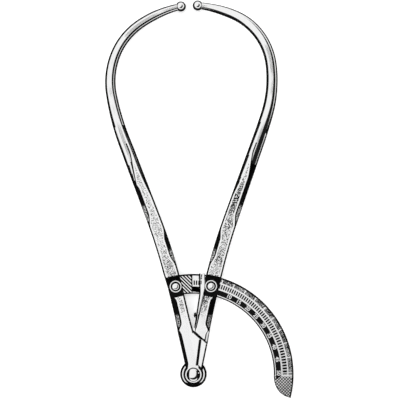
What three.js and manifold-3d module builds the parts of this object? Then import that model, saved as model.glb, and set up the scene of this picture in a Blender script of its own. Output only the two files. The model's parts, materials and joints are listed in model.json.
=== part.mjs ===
// Pelvimeter: two bowed arms with ball tips on a firm half-lap joint, read on a graduated arc.
// The arc is fixed in the left leg and slides through a mortise in the right leg, where a screw
// clamps it. The instrument lies on its back: +Z is the front, +Y runs from pivot to balls.
import * as THREE from "three";
import { mergeVertices, toCreasedNormals } from "three/addons/utils/BufferGeometryUtils.js";
import Module from "manifold-3d";

const wasm = await Module();
wasm.setup();

// Driving dimensions, in millimetres, with angles in degrees

// General fits
const CLEARANCE = 0.3;
const SEAT_GAP = 0.25;
const RUNNING_CLEARANCE = 0.15;
const OVERRUN = 6;
const WELD = 1e-4;

// Ball tips, whose radius also sets the height of the instrument's middle plane
const BALL_RADIUS = 5.35;
const BALL_FLAT = 4.1;
const SPIGOT_RADIUS = 1.6;
const SPIGOT_LENGTH = 7;

// Arm centre line: leg, sweep outwards, shank, and then the four bends of each bow
const FOOT_OFFSET = 1.8;
const LEAN_ANGLE = 12.74;
const LEG_LENGTH = 90.9;
const SWEEP_RADIUS = 641;
const SWEEP_ANGLE = 7.42;
const SHANK_LENGTH = 84.4;
const LEFT_FLANK_RADIUS = 274.2;
const LEFT_FLANK_ANGLE = 11.29;
const LEFT_SHOULDER_RADIUS = 79.3;
const LEFT_SHOULDER_ANGLE = 30.07;
const LEFT_CROWN_RADIUS = 71.4;
const LEFT_CROWN_ANGLE = 35.26;
const LEFT_END_RADIUS = 122.5;
const LEFT_END_ANGLE = 22.38;
const RIGHT_FLANK_RADIUS = 632.3;
const RIGHT_FLANK_ANGLE = 2.75;
const RIGHT_SHOULDER_RADIUS = 129.9;
const RIGHT_SHOULDER_ANGLE = 23.67;
const RIGHT_CROWN_RADIUS = 66.2;
const RIGHT_CROWN_ANGLE = 58.87;
const RIGHT_END_RADIUS = 131;
const RIGHT_END_ANGLE = 17.64;

// Arm sections
const LEG_WIDTH = 14.8;
const SHANK_WIDTH = 12.2;
const ROD_WIDTH = 10.3;
const NECK_WIDTH = 9.1;
const TIP_WIDTH = 6.8;
const LEG_THICKNESS = 6.4;
const ROD_THICKNESS = 7;
const TIP_THICKNESS = 6.4;
const EDGE_WIDTH = 1.2;
const EDGE_DEPTH = 1;
const ROD_FLAT = 0.3;
const FLAT_END = 196;
const TONGUE_END = 246;
const LEG_STEP = 6;
const BOW_STEP = 8;

// Stopped bevels on the leg's edges, by their run along the centre line
const FOOT_BEVEL = { start: 6, length: 46, run: 8, width: 3.2, depth: 1.5 };
const LOWER_BEVEL = { start: 48, length: 40, run: 9, width: 5.5, depth: 2.3 };
const INNER_BEVEL = { start: 117, length: 42, run: 13, width: 3.1, depth: 2.2 };
const OUTER_BEVEL = { start: 164, length: 56, run: 15, width: 3.5, depth: 2.3 };

// Half-lap joint and its eyes
const LAP_GAP = 0.3;
const LAP_HEIGHT = 45;
const LAP_CROSS = 1.5;
const SHOULDER_GAP = 1.4;
const SHOULDER_SLOPE = 42.8;
const CHEEK_REACH = 9.6;
const CHEEK_NECK = 5.3;
const CHEEK_BLEND = 12;
const FRONT_EYE_RADIUS = 10.75;
const REAR_EYE_RADIUS = 14.2;
const EYE_BEVEL = 1;

// Pivot screw, spring washer and nut
const PIVOT_RADIUS = 3.2;
const PIVOT_HEAD_RADIUS = 7.4;
const PIVOT_HEAD_EDGE = 0.7;
const PIVOT_HEAD_DOME = 2.3;
const PIVOT_NUT_RADIUS = 6.2;
const SPRING_WASHER_RADIUS = 6.6;
const SPRING_WASHER_THICKNESS = 0.45;
const SPRING_WASHER_EDGE = 0.1;
const WASHER_RECESS = 0.6;

// Graduated arc, concentric with the pivot
const ARC_INNER_RADIUS = 85.8;
const ARC_WIDTH = 21.1;
const ARC_THICKNESS = 1.5;
const ARC_SETBACK = 0.35;
const ARC_ROOT_ANGLE = 103;
const ARC_NOSE_ANGLE = -1.3;
const ARC_NOSE_BULGE = 2.6;
const ARC_POINT_ANGLE = -14.5;
const SCALE_START_ANGLE = 89.9;
const SCALE_ZERO_ANGLE = 79.3;
const SCALE_UNIT = 10;
const SCALE_TOP = 50;
const SCALE_LEAD = 7;
const SCALE_RUNOUT_ANGLE = 1;
const ENGRAVING_DEPTH = 0.25;
const TICK_LINE = 0.95;

// Screws that anchor and clamp the arc, and the hollow across the leg they sit in
const ANCHOR_INSET = 1.6;
const CLAMP_OUTSET = 0.4;
const COLLAR_RADIUS = 6.4;
const COLLAR_THICKNESS = 1.15;
const COLLAR_EDGE = 0.35;
const SCREW_HEAD_RADIUS = 4.3;
const SCREW_HEAD_EDGE = 0.5;
const SCREW_HEAD_DOME = 1.9;
const SCREW_RADIUS = 2;
const ANCHOR_NUT_RADIUS = 4.4;
const HOLLOW_LENGTH = 23;
const HOLLOW_DEPTH = 0.9;
const SPOT_DEPTH = 0.1;
const BUSH_SPIGOT_RADIUS = 3.9;
const PAD_RADIUS = 2.6;
const PAD_THICKNESS = 0.9;
const CLAMP_TRAVEL = 0.5;

// Index leaf on the right leg's inner side
const LEAF_SEAT_ANGLE = 14.2;
const LEAF_SEAT_CUT = 1;
const LEAF_SEAT_RISE = 4.5;
const LEAF_FOOT_WIDTH = 1.1;
const LEAF_TOP_WIDTH = 4.5;
const LEAF_INSET = 0.3;
const LEAF_TOP_MARGIN = 0.5;
const SLIT_WIDTH = 0.8;
const INDEX_ANGLE = 84.6;
const LEAF_SCREW_RISE = 18;
const LEAF_SCREW_RADIUS = 1.3;
const LEAF_SCREW_HEAD = 2.9;
const LEAF_SCREW_DOME = 2.2;
const LEAF_SCREW_LENGTH = 8;

// Facets
const ROUND_SIDES = 24;
const EYE_SIDES = 48;
const BALL_SIDES = 24;
const DOME_STEPS = 4;
const HOLLOW_SIDES = 6;
const CORNER_STEPS = 4;
const ARC_SIDES = 54;
const NOSE_SIDES = 10;
const SECTOR_ANGLE = 2.2;
const CREASE_ANGLE = 35;

// Where the arm's width has each of its named values, as shares of the centre line's length
const WIDTH_SHARES = { leg: 0.25, shank: 0.58, rod: 0.7, neck: 0.93 };
// Where the arc's engraved bands begin and end, as shares of its width from its inner edge
const BAND_SHARES = { numeralStart: 0.107, numeralEnd: 0.37, tickStart: 0.445, tickEnd: 0.673 };
// Where the thickness reaches that of the rod, and how deep a bevel is on the back
const ROD_THICKNESS_SHARE = 0.62;
const BACK_BEVEL_SHARE = 0.5;

// Values worked out from them

const DEGREE = Math.PI / 180;
const MIDDLE = BALL_RADIUS;
const LEG_FRONT = MIDDLE + LEG_THICKNESS / 2;
const LEG_BACK = MIDDLE - LEG_THICKNESS / 2;
const ARC_BACK = MIDDLE - ARC_SETBACK - ARC_THICKNESS / 2;
const ARC_FRONT = ARC_BACK + ARC_THICKNESS;
const MORTISE_BACK = ARC_BACK - CLEARANCE;
const MORTISE_FRONT = ARC_FRONT + CLEARANCE;
const SPOT_FLOOR = LEG_FRONT - HOLLOW_DEPTH - SPOT_DEPTH;
const COLLAR_BASE = SPOT_FLOOR + SEAT_GAP;
const COLLAR_TOP = COLLAR_BASE + COLLAR_THICKNESS;
const ARC_OUTER_RADIUS = ARC_INNER_RADIUS + ARC_WIDTH;
const ARC_MIDDLE_RADIUS = ARC_INNER_RADIUS + ARC_WIDTH / 2;
const SCREW_HEIGHT = ARC_MIDDLE_RADIUS * Math.cos(LEAN_ANGLE * DEGREE);
const SCREW_CENTRE = SCREW_HEIGHT * Math.tan(LEAN_ANGLE * DEGREE) - FOOT_OFFSET;
const ANCHOR_REACH = SCREW_CENTRE - ANCHOR_INSET;
const CLAMP_REACH = SCREW_CENTRE + CLAMP_OUTSET;
const LEAF_SEAT_FOOT = LAP_HEIGHT + LEAF_SEAT_RISE;
const LEAF_SEAT_REACH = CLAMP_REACH - COLLAR_RADIUS;
const LEAF_SEAT_SLOPE = Math.tan(LEAF_SEAT_ANGLE * DEGREE);
const LEAF_SEAT_END = LEAF_SEAT_FOOT + (LEAF_SEAT_REACH - seatPoint(LEAF_SEAT_FOOT)) / LEAF_SEAT_SLOPE;
const LEAF_SCREW_HEIGHT = LAP_HEIGHT + LEAF_SCREW_RISE;
const SHOULDER = new THREE.Vector2(Math.cos(SHOULDER_SLOPE * DEGREE), -Math.sin(SHOULDER_SLOPE * DEGREE));

const steel = { metalness: 1, roughness: 0.28 };
const materials = {
  forging: new THREE.MeshStandardMaterial({ color: 0xc9cbcd, ...steel }),
  ball: new THREE.MeshStandardMaterial({ color: 0xd6d8da, metalness: 1, roughness: 0.15 }),
  scale: new THREE.MeshStandardMaterial({ color: 0xb9bcbf, metalness: 1, roughness: 0.4 }),
  screw: new THREE.MeshStandardMaterial({ color: 0xdadcde, metalness: 1, roughness: 0.2 }),
  inner: new THREE.MeshStandardMaterial({ color: 0x9a9da1, metalness: 1, roughness: 0.45 }),
};

// Solids and meshes

function toSolid(geometry) {
  const bare = geometry.clone();
  for (const name of Object.keys(bare.attributes)) {
    if (name !== "position") bare.deleteAttribute(name);
  }
  const merged = mergeVertices(bare, WELD);
  const vertProperties = new Float32Array(merged.attributes.position.array);
  const triVerts = new Uint32Array(merged.index.array);
  return new wasm.Manifold(new wasm.Mesh({ numProp: 3, vertProperties, triVerts }));
}

function toGeometry(solid) {
  const { vertProperties, triVerts } = solid.getMesh();
  const geometry = new THREE.BufferGeometry();
  geometry.setAttribute("position", new THREE.BufferAttribute(vertProperties, 3));
  geometry.setIndex(new THREE.BufferAttribute(triVerts, 1));
  return toCreasedNormals(geometry, CREASE_ANGLE * DEGREE);
}

function piece(name, solid, material) {
  const mesh = new THREE.Mesh(toGeometry(solid), material);
  mesh.name = name;
  return mesh;
}

// A flat outline, as a list of [x, y], raised from low to high
function prism(points, low, high) {
  const shape = new THREE.Shape(points.map(([x, y]) => new THREE.Vector2(x, y)));
  const geometry = new THREE.ExtrudeGeometry(shape, { depth: high - low, bevelEnabled: false });
  return toSolid(geometry.translate(0, 0, low));
}

// A turned solid about +Z from a profile of [radius, height] that runs upwards
function turned(profile, sides = ROUND_SIDES) {
  const points = profile.map(([radius, height]) => new THREE.Vector2(radius, height));
  return toSolid(new THREE.LatheGeometry(points, sides).rotateX(Math.PI / 2));
}

function disc(radius, low, high) {
  return turned([[0, low], [radius, low], [radius, high], [0, high]]);
}

function dome(radius, height, base) {
  const sphere = (radius * radius + height * height) / (2 * height);
  const half = Math.asin(Math.min(1, radius / sphere));
  return Array.from({ length: DOME_STEPS + 1 }, (_, i) => {
    const angle = half * (1 - i / DOME_STEPS);
    return [sphere * Math.sin(angle), base + height - sphere * (1 - Math.cos(angle))];
  });
}

// A band about the pivot between two radii and two angles, raised from low to high
function sector(inner, outer, from, to, low, high) {
  const shape = new THREE.Shape();
  shape.absarc(0, 0, outer, from * DEGREE, to * DEGREE, false);
  shape.absarc(0, 0, inner, to * DEGREE, from * DEGREE, true);
  const sides = Math.ceil(Math.abs(to - from) / SECTOR_ANGLE);
  const options = { depth: high - low, bevelEnabled: false, curveSegments: sides };
  return toSolid(new THREE.ExtrudeGeometry(shape, options).translate(0, 0, low));
}

// Arms

function runsOf(bow) {
  const bend = ([radius, angle]) => ({ length: radius * angle * DEGREE, turn: angle * DEGREE });
  return [
    { length: LEG_LENGTH, turn: 0 },
    { length: SWEEP_RADIUS * SWEEP_ANGLE * DEGREE, turn: -SWEEP_ANGLE * DEGREE },
    { length: SHANK_LENGTH, turn: 0 },
    ...bow.map(bend),
  ];
}

function lengthOf(runs) {
  return runs.reduce((sum, run) => sum + run.length, 0);
}

// The place and heading on the centre line, with x outwards from the instrument's axis
function placeAt(runs, along) {
  const place = { x: -FOOT_OFFSET, y: 0, heading: LEAN_ANGLE * DEGREE };
  let left = along;
  for (const { length, turn } of runs) {
    const part = Math.min(left, length) / length;
    const half = (turn * part) / 2;
    const chord = half === 0 ? length * part : (length * part * Math.sin(half)) / half;
    place.x += chord * Math.sin(place.heading - half);
    place.y += chord * Math.cos(place.heading - half);
    place.heading -= 2 * half;
    left -= length * part;
    if (left <= 0) break;
  }
  return place;
}

// The value at one place of a list of [place, value] in rising order
function between(stations, at) {
  const next = stations.findIndex(([place]) => place >= at);
  if (next === 0) return stations[0][1];
  if (next < 0) return stations[stations.length - 1][1];
  const [[from, low], [to, high]] = stations.slice(next - 1, next + 1);
  return THREE.MathUtils.lerp(low, high, (at - from) / (to - from));
}

function widthAt(along, length) {
  const stations = [
    [WIDTH_SHARES.leg * length, LEG_WIDTH],
    [WIDTH_SHARES.shank * length, SHANK_WIDTH],
    [WIDTH_SHARES.rod * length, ROD_WIDTH],
    [WIDTH_SHARES.neck * length, NECK_WIDTH],
    [length, TIP_WIDTH],
  ];
  return between(stations, along);
}

function thicknessAt(along, length) {
  const stations = [
    [FLAT_END, LEG_THICKNESS],
    [ROD_THICKNESS_SHARE * length, ROD_THICKNESS],
    [WIDTH_SHARES.neck * length, ROD_THICKNESS],
    [length, TIP_THICKNESS],
  ];
  return between(stations, along);
}

// How far a stopped bevel is cut at one place, from 0 to 1
function bevelAt(bevel, along) {
  const end = bevel.start + bevel.length;
  const opens = THREE.MathUtils.smoothstep(along, bevel.start, bevel.start + bevel.run);
  const closes = THREE.MathUtils.smoothstep(along, end - bevel.run, end);
  return opens - closes;
}

// One corner of the arm's section: a flat bevel on the leg, rounded on the rod
function cornerAt(along, width, thickness, bevels, share) {
  const round = THREE.MathUtils.clamp((along - FLAT_END) / (TONGUE_END - FLAT_END), 0, 1);
  const corner = {
    width: THREE.MathUtils.lerp(EDGE_WIDTH, (width - ROD_FLAT) / 2, round),
    depth: THREE.MathUtils.lerp(EDGE_DEPTH, (thickness - ROD_FLAT) / 2, round),
    flat: 1 - round,
  };
  for (const bevel of bevels) {
    const cut = bevelAt(bevel, along);
    corner.width = Math.max(corner.width, THREE.MathUtils.lerp(EDGE_WIDTH, bevel.width, cut));
    corner.depth = Math.max(corner.depth, THREE.MathUtils.lerp(EDGE_DEPTH, bevel.depth * share, cut));
  }
  return corner;
}

// The section's points [across, up], from the outer side's front corner round to its back one
function sectionAt(along, length) {
  const width = widthAt(along, length);
  const thickness = thicknessAt(along, length);
  const outer = [FOOT_BEVEL, LOWER_BEVEL, OUTER_BEVEL];
  const inner = [INNER_BEVEL];
  const corners = [
    { sx: 1, sz: 1, ...cornerAt(along, width, thickness, outer, 1) },
    { sx: -1, sz: 1, ...cornerAt(along, width, thickness, inner, 1) },
    { sx: -1, sz: -1, ...cornerAt(along, width, thickness, inner, BACK_BEVEL_SHARE) },
    { sx: 1, sz: -1, ...cornerAt(along, width, thickness, outer, BACK_BEVEL_SHARE) },
  ];
  const points = [];
  corners.forEach((corner, quarter) => {
    for (let i = 0; i <= CORNER_STEPS; i += 1) {
      const turn = quarter % 2 ? 1 - i / CORNER_STEPS : i / CORNER_STEPS;
      const cos = THREE.MathUtils.lerp(Math.cos(turn * Math.PI / 2), 1 - turn, corner.flat);
      const sin = THREE.MathUtils.lerp(Math.sin(turn * Math.PI / 2), turn, corner.flat);
      const across = width / 2 - corner.width * (1 - cos);
      const up = thickness / 2 - corner.depth * (1 - sin);
      points.push([corner.sx * across, corner.sz * up]);
    }
  });
  return points;
}

function stationsOf(length, end) {
  const bowStart = LEG_LENGTH + SWEEP_RADIUS * SWEEP_ANGLE * DEGREE + SHANK_LENGTH;
  const legCount = Math.round(bowStart / LEG_STEP);
  const bowCount = Math.round((end - bowStart) / BOW_STEP);
  const legs = Array.from({ length: legCount }, (_, i) => (i * bowStart) / legCount);
  const bows = Array.from({ length: bowCount + 1 }, (_, i) => bowStart + (i * (end - bowStart)) / bowCount);
  return [...legs, ...bows];
}

// Skins a row of rings that have the same count of points, with a flat cap at each end
function loft(rings) {
  const count = rings[0].length;
  const positions = rings.flat().flatMap((point) => point.toArray());
  const index = [];
  for (let ring = 0; ring + 1 < rings.length; ring += 1) {
    for (let i = 0; i < count; i += 1) {
      const a = ring * count + i;
      const b = ring * count + ((i + 1) % count);
      index.push(a, a + count, b, b, a + count, b + count);
    }
  }
  const last = (rings.length - 1) * count;
  for (let i = 1; i + 1 < count; i += 1) {
    index.push(0, i, i + 1, last, last + i + 1, last + i);
  }
  const geometry = new THREE.BufferGeometry();
  geometry.setAttribute("position", new THREE.Float32BufferAttribute(positions, 3));
  geometry.setIndex(index);
  return toSolid(geometry);
}

function armRod(runs, side) {
  const length = lengthOf(runs);
  const rings = stationsOf(length, length - BALL_FLAT - SEAT_GAP).map((along) => {
    const { x, y, heading } = placeAt(runs, along);
    const ring = sectionAt(along, length).map(([across, up]) => {
      const outwards = x + across * Math.cos(heading);
      return new THREE.Vector3(side * outwards, y - across * Math.sin(heading), MIDDLE + up);
    });
    return side > 0 ? ring : ring.reverse();
  });
  return loft(rings);
}

// The leg's inner edge at a height below the sweep, in the arm's own outward x
function innerEdge(height) {
  const lean = LEAN_ANGLE * DEGREE;
  return height * Math.tan(lean) - FOOT_OFFSET - LEG_WIDTH / 2 / Math.cos(lean);
}

// A point on a shoulder line, which falls from the crotch, moved square to the line by a gap
function shoulderPoint(cross, run, gap) {
  const x = cross + SHOULDER.x * run - SHOULDER.y * gap;
  return [x, LAP_HEIGHT + SHOULDER.y * run + SHOULDER.x * gap];
}

// Cheek of the half lap: widens the leg over the middle, up to its own shoulder
function cheek(side, low, high) {
  const blend = LAP_HEIGHT + CHEEK_BLEND;
  const own = shoulderPoint(LAP_CROSS, 0, -SHOULDER_GAP / 2);
  const run = (CHEEK_REACH - LAP_CROSS) / SHOULDER.x;
  const corner = shoulderPoint(LAP_CROSS, run, -SHOULDER_GAP / 2);
  const centre = LEG_WIDTH / 2;
  const points = [
    [innerEdge(blend) + EDGE_WIDTH, blend],
    [innerEdge(blend), blend],
    [-own[0], own[1]],
    [-corner[0], corner[1]],
    [-CHEEK_NECK, FRONT_EYE_RADIUS * Math.cos(Math.asin(CHEEK_NECK / FRONT_EYE_RADIUS))],
    [0, 0],
    [innerEdge(LAP_HEIGHT) + centre, LAP_HEIGHT],
  ];
  return prism(points.map(([x, y]) => [side * x, y]), low, high);
}

// What lies beyond the cheek's inner edge and shoulder, which the other arm needs free
function cheekLimit(side) {
  const own = shoulderPoint(LAP_CROSS, 0, -SHOULDER_GAP / 2);
  const run = (CHEEK_REACH - LAP_CROSS) / SHOULDER.x;
  const corner = shoulderPoint(LAP_CROSS, run, -SHOULDER_GAP / 2);
  const far = REAR_EYE_RADIUS + LEG_WIDTH;
  const points = [
    [-own[0], LAP_HEIGHT + CHEEK_BLEND],
    [-own[0], own[1]],
    [-corner[0], corner[1]],
    [-CHEEK_NECK, FRONT_EYE_RADIUS * Math.cos(Math.asin(CHEEK_NECK / FRONT_EYE_RADIUS))],
    [-CHEEK_NECK, -far],
    [-far, -far],
    [-far, LAP_HEIGHT + CHEEK_BLEND],
  ];
  return prism(points.map(([x, y]) => [side * x, y]), -OVERRUN, LEG_FRONT + OVERRUN);
}

// The half of the leg that gives way to the other arm's cheek, below the diagonal shoulder
function lapCut(side, layer) {
  const gap = SHOULDER_GAP / 2;
  const far = 2 * (REAR_EYE_RADIUS + LEG_WIDTH);
  const points = [
    [LAP_CROSS + gap, LAP_HEIGHT + CHEEK_BLEND],
    [LAP_CROSS + gap, LAP_HEIGHT + gap],
    shoulderPoint(LAP_CROSS, far / 2, gap),
    [far, -far],
    [-far, -far],
    [-far, LAP_HEIGHT + CHEEK_BLEND],
  ];
  const low = layer > 0 ? LEG_BACK - OVERRUN : MIDDLE - LAP_GAP / 2;
  const high = layer > 0 ? MIDDLE + LAP_GAP / 2 : LEG_FRONT + OVERRUN;
  return prism(points.map(([x, y]) => [side * x, y]), low, high);
}

function eye(radius, low, high) {
  return turned([
    [0, low],
    [radius - EYE_BEVEL, low],
    [radius, low + EYE_BEVEL],
    [radius, high - EYE_BEVEL],
    [radius - EYE_BEVEL, high],
    [0, high],
  ], EYE_SIDES);
}

// Straight blind hole in the rod's end, in line with the ball's spigot
function spigotHole(runs, side) {
  const { x, y, heading } = placeAt(runs, lengthOf(runs));
  const hole = disc(SPIGOT_RADIUS + CLEARANCE, -BALL_FLAT - SPIGOT_LENGTH - CLEARANCE, 0);
  return hole.transform(alongArm(side * x, y, side * heading).toArray());
}

// Lays a piece turned about +Z along the arm's heading, at a point of the middle plane
function alongArm(x, y, heading) {
  const along = new THREE.Vector3(Math.sin(heading), Math.cos(heading), 0);
  const up = new THREE.Vector3(0, 0, 1);
  const matrix = new THREE.Matrix4().makeBasis(new THREE.Vector3().crossVectors(up, along), up, along);
  return matrix.setPosition(x, y, MIDDLE);
}

// Shallow hollow ground across the leg under a screw, with a flat spot for its collar
function screwHollow(x, side) {
  const radius = (HOLLOW_LENGTH ** 2 / 4 + HOLLOW_DEPTH ** 2) / (2 * HOLLOW_DEPTH);
  const half = Math.asin(HOLLOW_LENGTH / 2 / radius);
  const shape = new THREE.Shape();
  shape.absarc(0, radius - HOLLOW_DEPTH, radius, -Math.PI / 2 - half, -Math.PI / 2 + half, false);
  shape.lineTo(HOLLOW_LENGTH / 2, OVERRUN);
  shape.lineTo(-HOLLOW_LENGTH / 2, OVERRUN);
  const options = { depth: 2 * LEG_WIDTH, bevelEnabled: false, curveSegments: HOLLOW_SIDES };
  const geometry = new THREE.ExtrudeGeometry(shape, options).translate(0, 0, -LEG_WIDTH);
  const lean = side * LEAN_ANGLE * DEGREE;
  const along = new THREE.Vector3(Math.sin(lean), Math.cos(lean), 0);
  const up = new THREE.Vector3(0, 0, 1);
  const matrix = new THREE.Matrix4().makeBasis(along, up, new THREE.Vector3().crossVectors(along, up));
  geometry.applyMatrix4(matrix.setPosition(x, SCREW_HEIGHT, LEG_FRONT));
  const spot = disc(COLLAR_RADIUS + CLEARANCE, SPOT_FLOOR, LEG_FRONT + OVERRUN);
  return toSolid(geometry).add(spot.translate([x, SCREW_HEIGHT, 0]));
}

// The arm as far as both sides share it: rod, leg, lap cheek, eye and pivot hole
function armBlank(runs, side, layer, eyeRadius) {
  const low = layer > 0 ? MIDDLE + LAP_GAP / 2 : LEG_BACK;
  const high = layer > 0 ? LEG_FRONT : MIDDLE - LAP_GAP / 2;
  return armRod(runs, side)
    .subtract(lapCut(side, layer))
    .add(cheek(side, low, high))
    .subtract(cheekLimit(side))
    .add(eye(eyeRadius, low, high))
    .subtract(disc(PIVOT_RADIUS + RUNNING_CLEARANCE, LEG_BACK - OVERRUN, LEG_FRONT + OVERRUN))
    .subtract(spigotHole(runs, side));
}

function leftArm(runs) {
  const pocket = sector(
    ARC_INNER_RADIUS - CLEARANCE,
    ARC_OUTER_RADIUS + CLEARANCE,
    SCALE_START_ANGLE,
    ARC_ROOT_ANGLE + CLEARANCE / ARC_INNER_RADIUS / DEGREE,
    MORTISE_BACK,
    MORTISE_FRONT,
  );
  const hole = disc(SCREW_RADIUS + CLEARANCE, LEG_BACK - OVERRUN, LEG_FRONT + OVERRUN);
  return armBlank(runs, -1, 1, FRONT_EYE_RADIUS)
    .subtract(pocket)
    .subtract(screwHollow(-ANCHOR_REACH, -1))
    .subtract(hole.translate([-ANCHOR_REACH, SCREW_HEIGHT, 0]));
}

function rightArm(runs) {
  const side = LEG_WIDTH / ARC_INNER_RADIUS / DEGREE;
  const mortise = sector(
    ARC_INNER_RADIUS - CLEARANCE,
    ARC_OUTER_RADIUS + CLEARANCE,
    SCALE_ZERO_ANGLE - side,
    SCALE_ZERO_ANGLE + side,
    MORTISE_BACK,
    MORTISE_FRONT,
  );
  const bushHole = disc(BUSH_SPIGOT_RADIUS + CLEARANCE, MIDDLE, LEG_FRONT + OVERRUN);
  const washerRecess = disc(SPRING_WASHER_RADIUS + CLEARANCE, LEG_BACK - OVERRUN, LEG_BACK + WASHER_RECESS);
  return armBlank(runs, 1, -1, REAR_EYE_RADIUS)
    .subtract(mortise)
    .subtract(screwHollow(CLAMP_REACH, 1))
    .subtract(bushHole.translate([CLAMP_REACH, SCREW_HEIGHT, 0]))
    .subtract(washerRecess)
    .subtract(leafSeat())
    .subtract(leafScrewHole(LEAF_SCREW_LENGTH + CLEARANCE));
}

// Ball, flat where it meets the rod's end, with its spigot
function ballTip() {
  const start = Math.acos(-BALL_FLAT / BALL_RADIUS);
  const steps = BALL_SIDES / 2;
  const surface = Array.from({ length: steps + 1 }, (_, i) => {
    const angle = start * (1 - i / steps);
    return [BALL_RADIUS * Math.sin(angle), BALL_RADIUS * Math.cos(angle)];
  });
  const foot = -BALL_FLAT - SPIGOT_LENGTH;
  return turned([[0, foot], [SPIGOT_RADIUS, foot], [SPIGOT_RADIUS, -BALL_FLAT], ...surface], BALL_SIDES);
}

function placedBall(name, runs, side) {
  const { x, y, heading } = placeAt(runs, lengthOf(runs));
  const mesh = piece(name, ballTip(), materials.ball);
  mesh.applyMatrix4(alongArm(side * x, y, side * heading));
  return mesh;
}

// Index leaf

// The seat that is ground into the right leg's inner side, and the leaf's two edges along it
function seatPoint(height) {
  return innerEdge(LEAF_SEAT_FOOT) + LEAF_SEAT_CUT + (height - LEAF_SEAT_FOOT) * LEAF_SEAT_SLOPE;
}

function leafEdge(height) {
  return seatPoint(Math.min(height, LEAF_SEAT_END)) - CLEARANCE / Math.cos(LEAF_SEAT_ANGLE * DEGREE);
}

function leafFace(height) {
  const share = (height - LEAF_SEAT_FOOT) / (ARC_INNER_RADIUS - LEAF_SEAT_FOOT);
  const top = leafEdge(ARC_INNER_RADIUS) - LEAF_TOP_WIDTH;
  return THREE.MathUtils.lerp(leafEdge(LEAF_SEAT_FOOT) - LEAF_FOOT_WIDTH, top, Math.min(share, 1));
}

// What is ground off the right leg's inner side to seat the leaf
function leafSeat() {
  const top = ARC_OUTER_RADIUS;
  const points = [
    [innerEdge(LEAF_SEAT_FOOT) - EDGE_WIDTH, LEAF_SEAT_FOOT],
    [seatPoint(LEAF_SEAT_FOOT), LEAF_SEAT_FOOT],
    [LEAF_SEAT_REACH, LEAF_SEAT_END],
    [LEAF_SEAT_REACH, top],
    [0, top],
    [0, ARC_INNER_RADIUS],
  ];
  return prism(points, LEG_BACK - OVERRUN, LEG_FRONT + OVERRUN);
}

// The leaf screw stands square to the leaf's face
function leafScrewFrame() {
  const rise = ARC_INNER_RADIUS - LEAF_SEAT_FOOT;
  const run = leafFace(ARC_INNER_RADIUS) - leafFace(LEAF_SEAT_FOOT);
  const along = new THREE.Vector3(run, rise, 0).normalize();
  const up = new THREE.Vector3(0, 0, 1);
  const out = new THREE.Vector3().crossVectors(up, along);
  const matrix = new THREE.Matrix4().makeBasis(along, up.clone().negate(), out);
  return matrix.setPosition(leafFace(LEAF_SCREW_HEIGHT), LEAF_SCREW_HEIGHT, MIDDLE);
}

function leafScrewHole(depth) {
  const hole = disc(LEAF_SCREW_RADIUS + CLEARANCE, -depth, OVERRUN);
  return hole.transform(leafScrewFrame().toArray());
}

// Tapered plate; below the arc it has the leg's depth, above that only a tongue in front of it
function indexLeaf() {
  const back = LEG_BACK + LEAF_INSET;
  const front = LEG_FRONT - LEAF_INSET;
  const foot = LEAF_SEAT_FOOT + CLEARANCE;
  const shelf = Math.sqrt((ARC_INNER_RADIUS - CLEARANCE) ** 2 - LEAF_SEAT_REACH ** 2);
  const top = ARC_OUTER_RADIUS + LEAF_TOP_MARGIN;
  const plate = [
    [leafFace(foot), foot],
    [leafEdge(foot), foot],
    [leafEdge(shelf), shelf],
    [leafFace(shelf), shelf],
  ];
  const tongue = [
    [leafFace(foot), foot],
    [leafEdge(foot), foot],
    [leafEdge(LEAF_SEAT_END), LEAF_SEAT_END],
    [leafEdge(top), top],
    [leafFace(top), top],
    [leafFace(ARC_INNER_RADIUS), ARC_INNER_RADIUS],
  ];
  return prism(plate, back, front)
    .add(prism(tongue, MORTISE_FRONT, front))
    .subtract(indexSlit())
    .subtract(leafScrewHole(LEAF_SCREW_LENGTH + CLEARANCE));
}

// Slit that points at the pivot and is open at the leaf's top
function indexSlit() {
  const outwards = new THREE.Vector2(Math.cos(INDEX_ANGLE * DEGREE), Math.sin(INDEX_ANGLE * DEGREE));
  const corner = (radius, side) => {
    const across = (side * SLIT_WIDTH) / 2;
    return [radius * outwards.x - across * outwards.y, radius * outwards.y + across * outwards.x];
  };
  const [low, high] = [ARC_MIDDLE_RADIUS, ARC_OUTER_RADIUS + OVERRUN];
  const points = [corner(low, 1), corner(low, -1), corner(high, -1), corner(high, 1)];
  return prism(points, MIDDLE, LEG_FRONT + OVERRUN);
}

function leafScrew() {
  const profile = [
    [0, -LEAF_SCREW_LENGTH],
    [LEAF_SCREW_RADIUS, -LEAF_SCREW_LENGTH],
    [LEAF_SCREW_RADIUS, SEAT_GAP],
    ...dome(LEAF_SCREW_HEAD, LEAF_SCREW_DOME, SEAT_GAP),
  ];
  const mesh = piece("index_leaf_screw", turned(profile), materials.screw);
  mesh.applyMatrix4(leafScrewFrame());
  return mesh;
}

// Graduated arc

// The angle of a reading: the balls' distance is the chord of the arms' reach
function readingAngle(reading, reach) {
  return SCALE_ZERO_ANGLE - (2 * Math.asin((reading * SCALE_UNIT) / (2 * reach))) / DEGREE;
}

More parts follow.
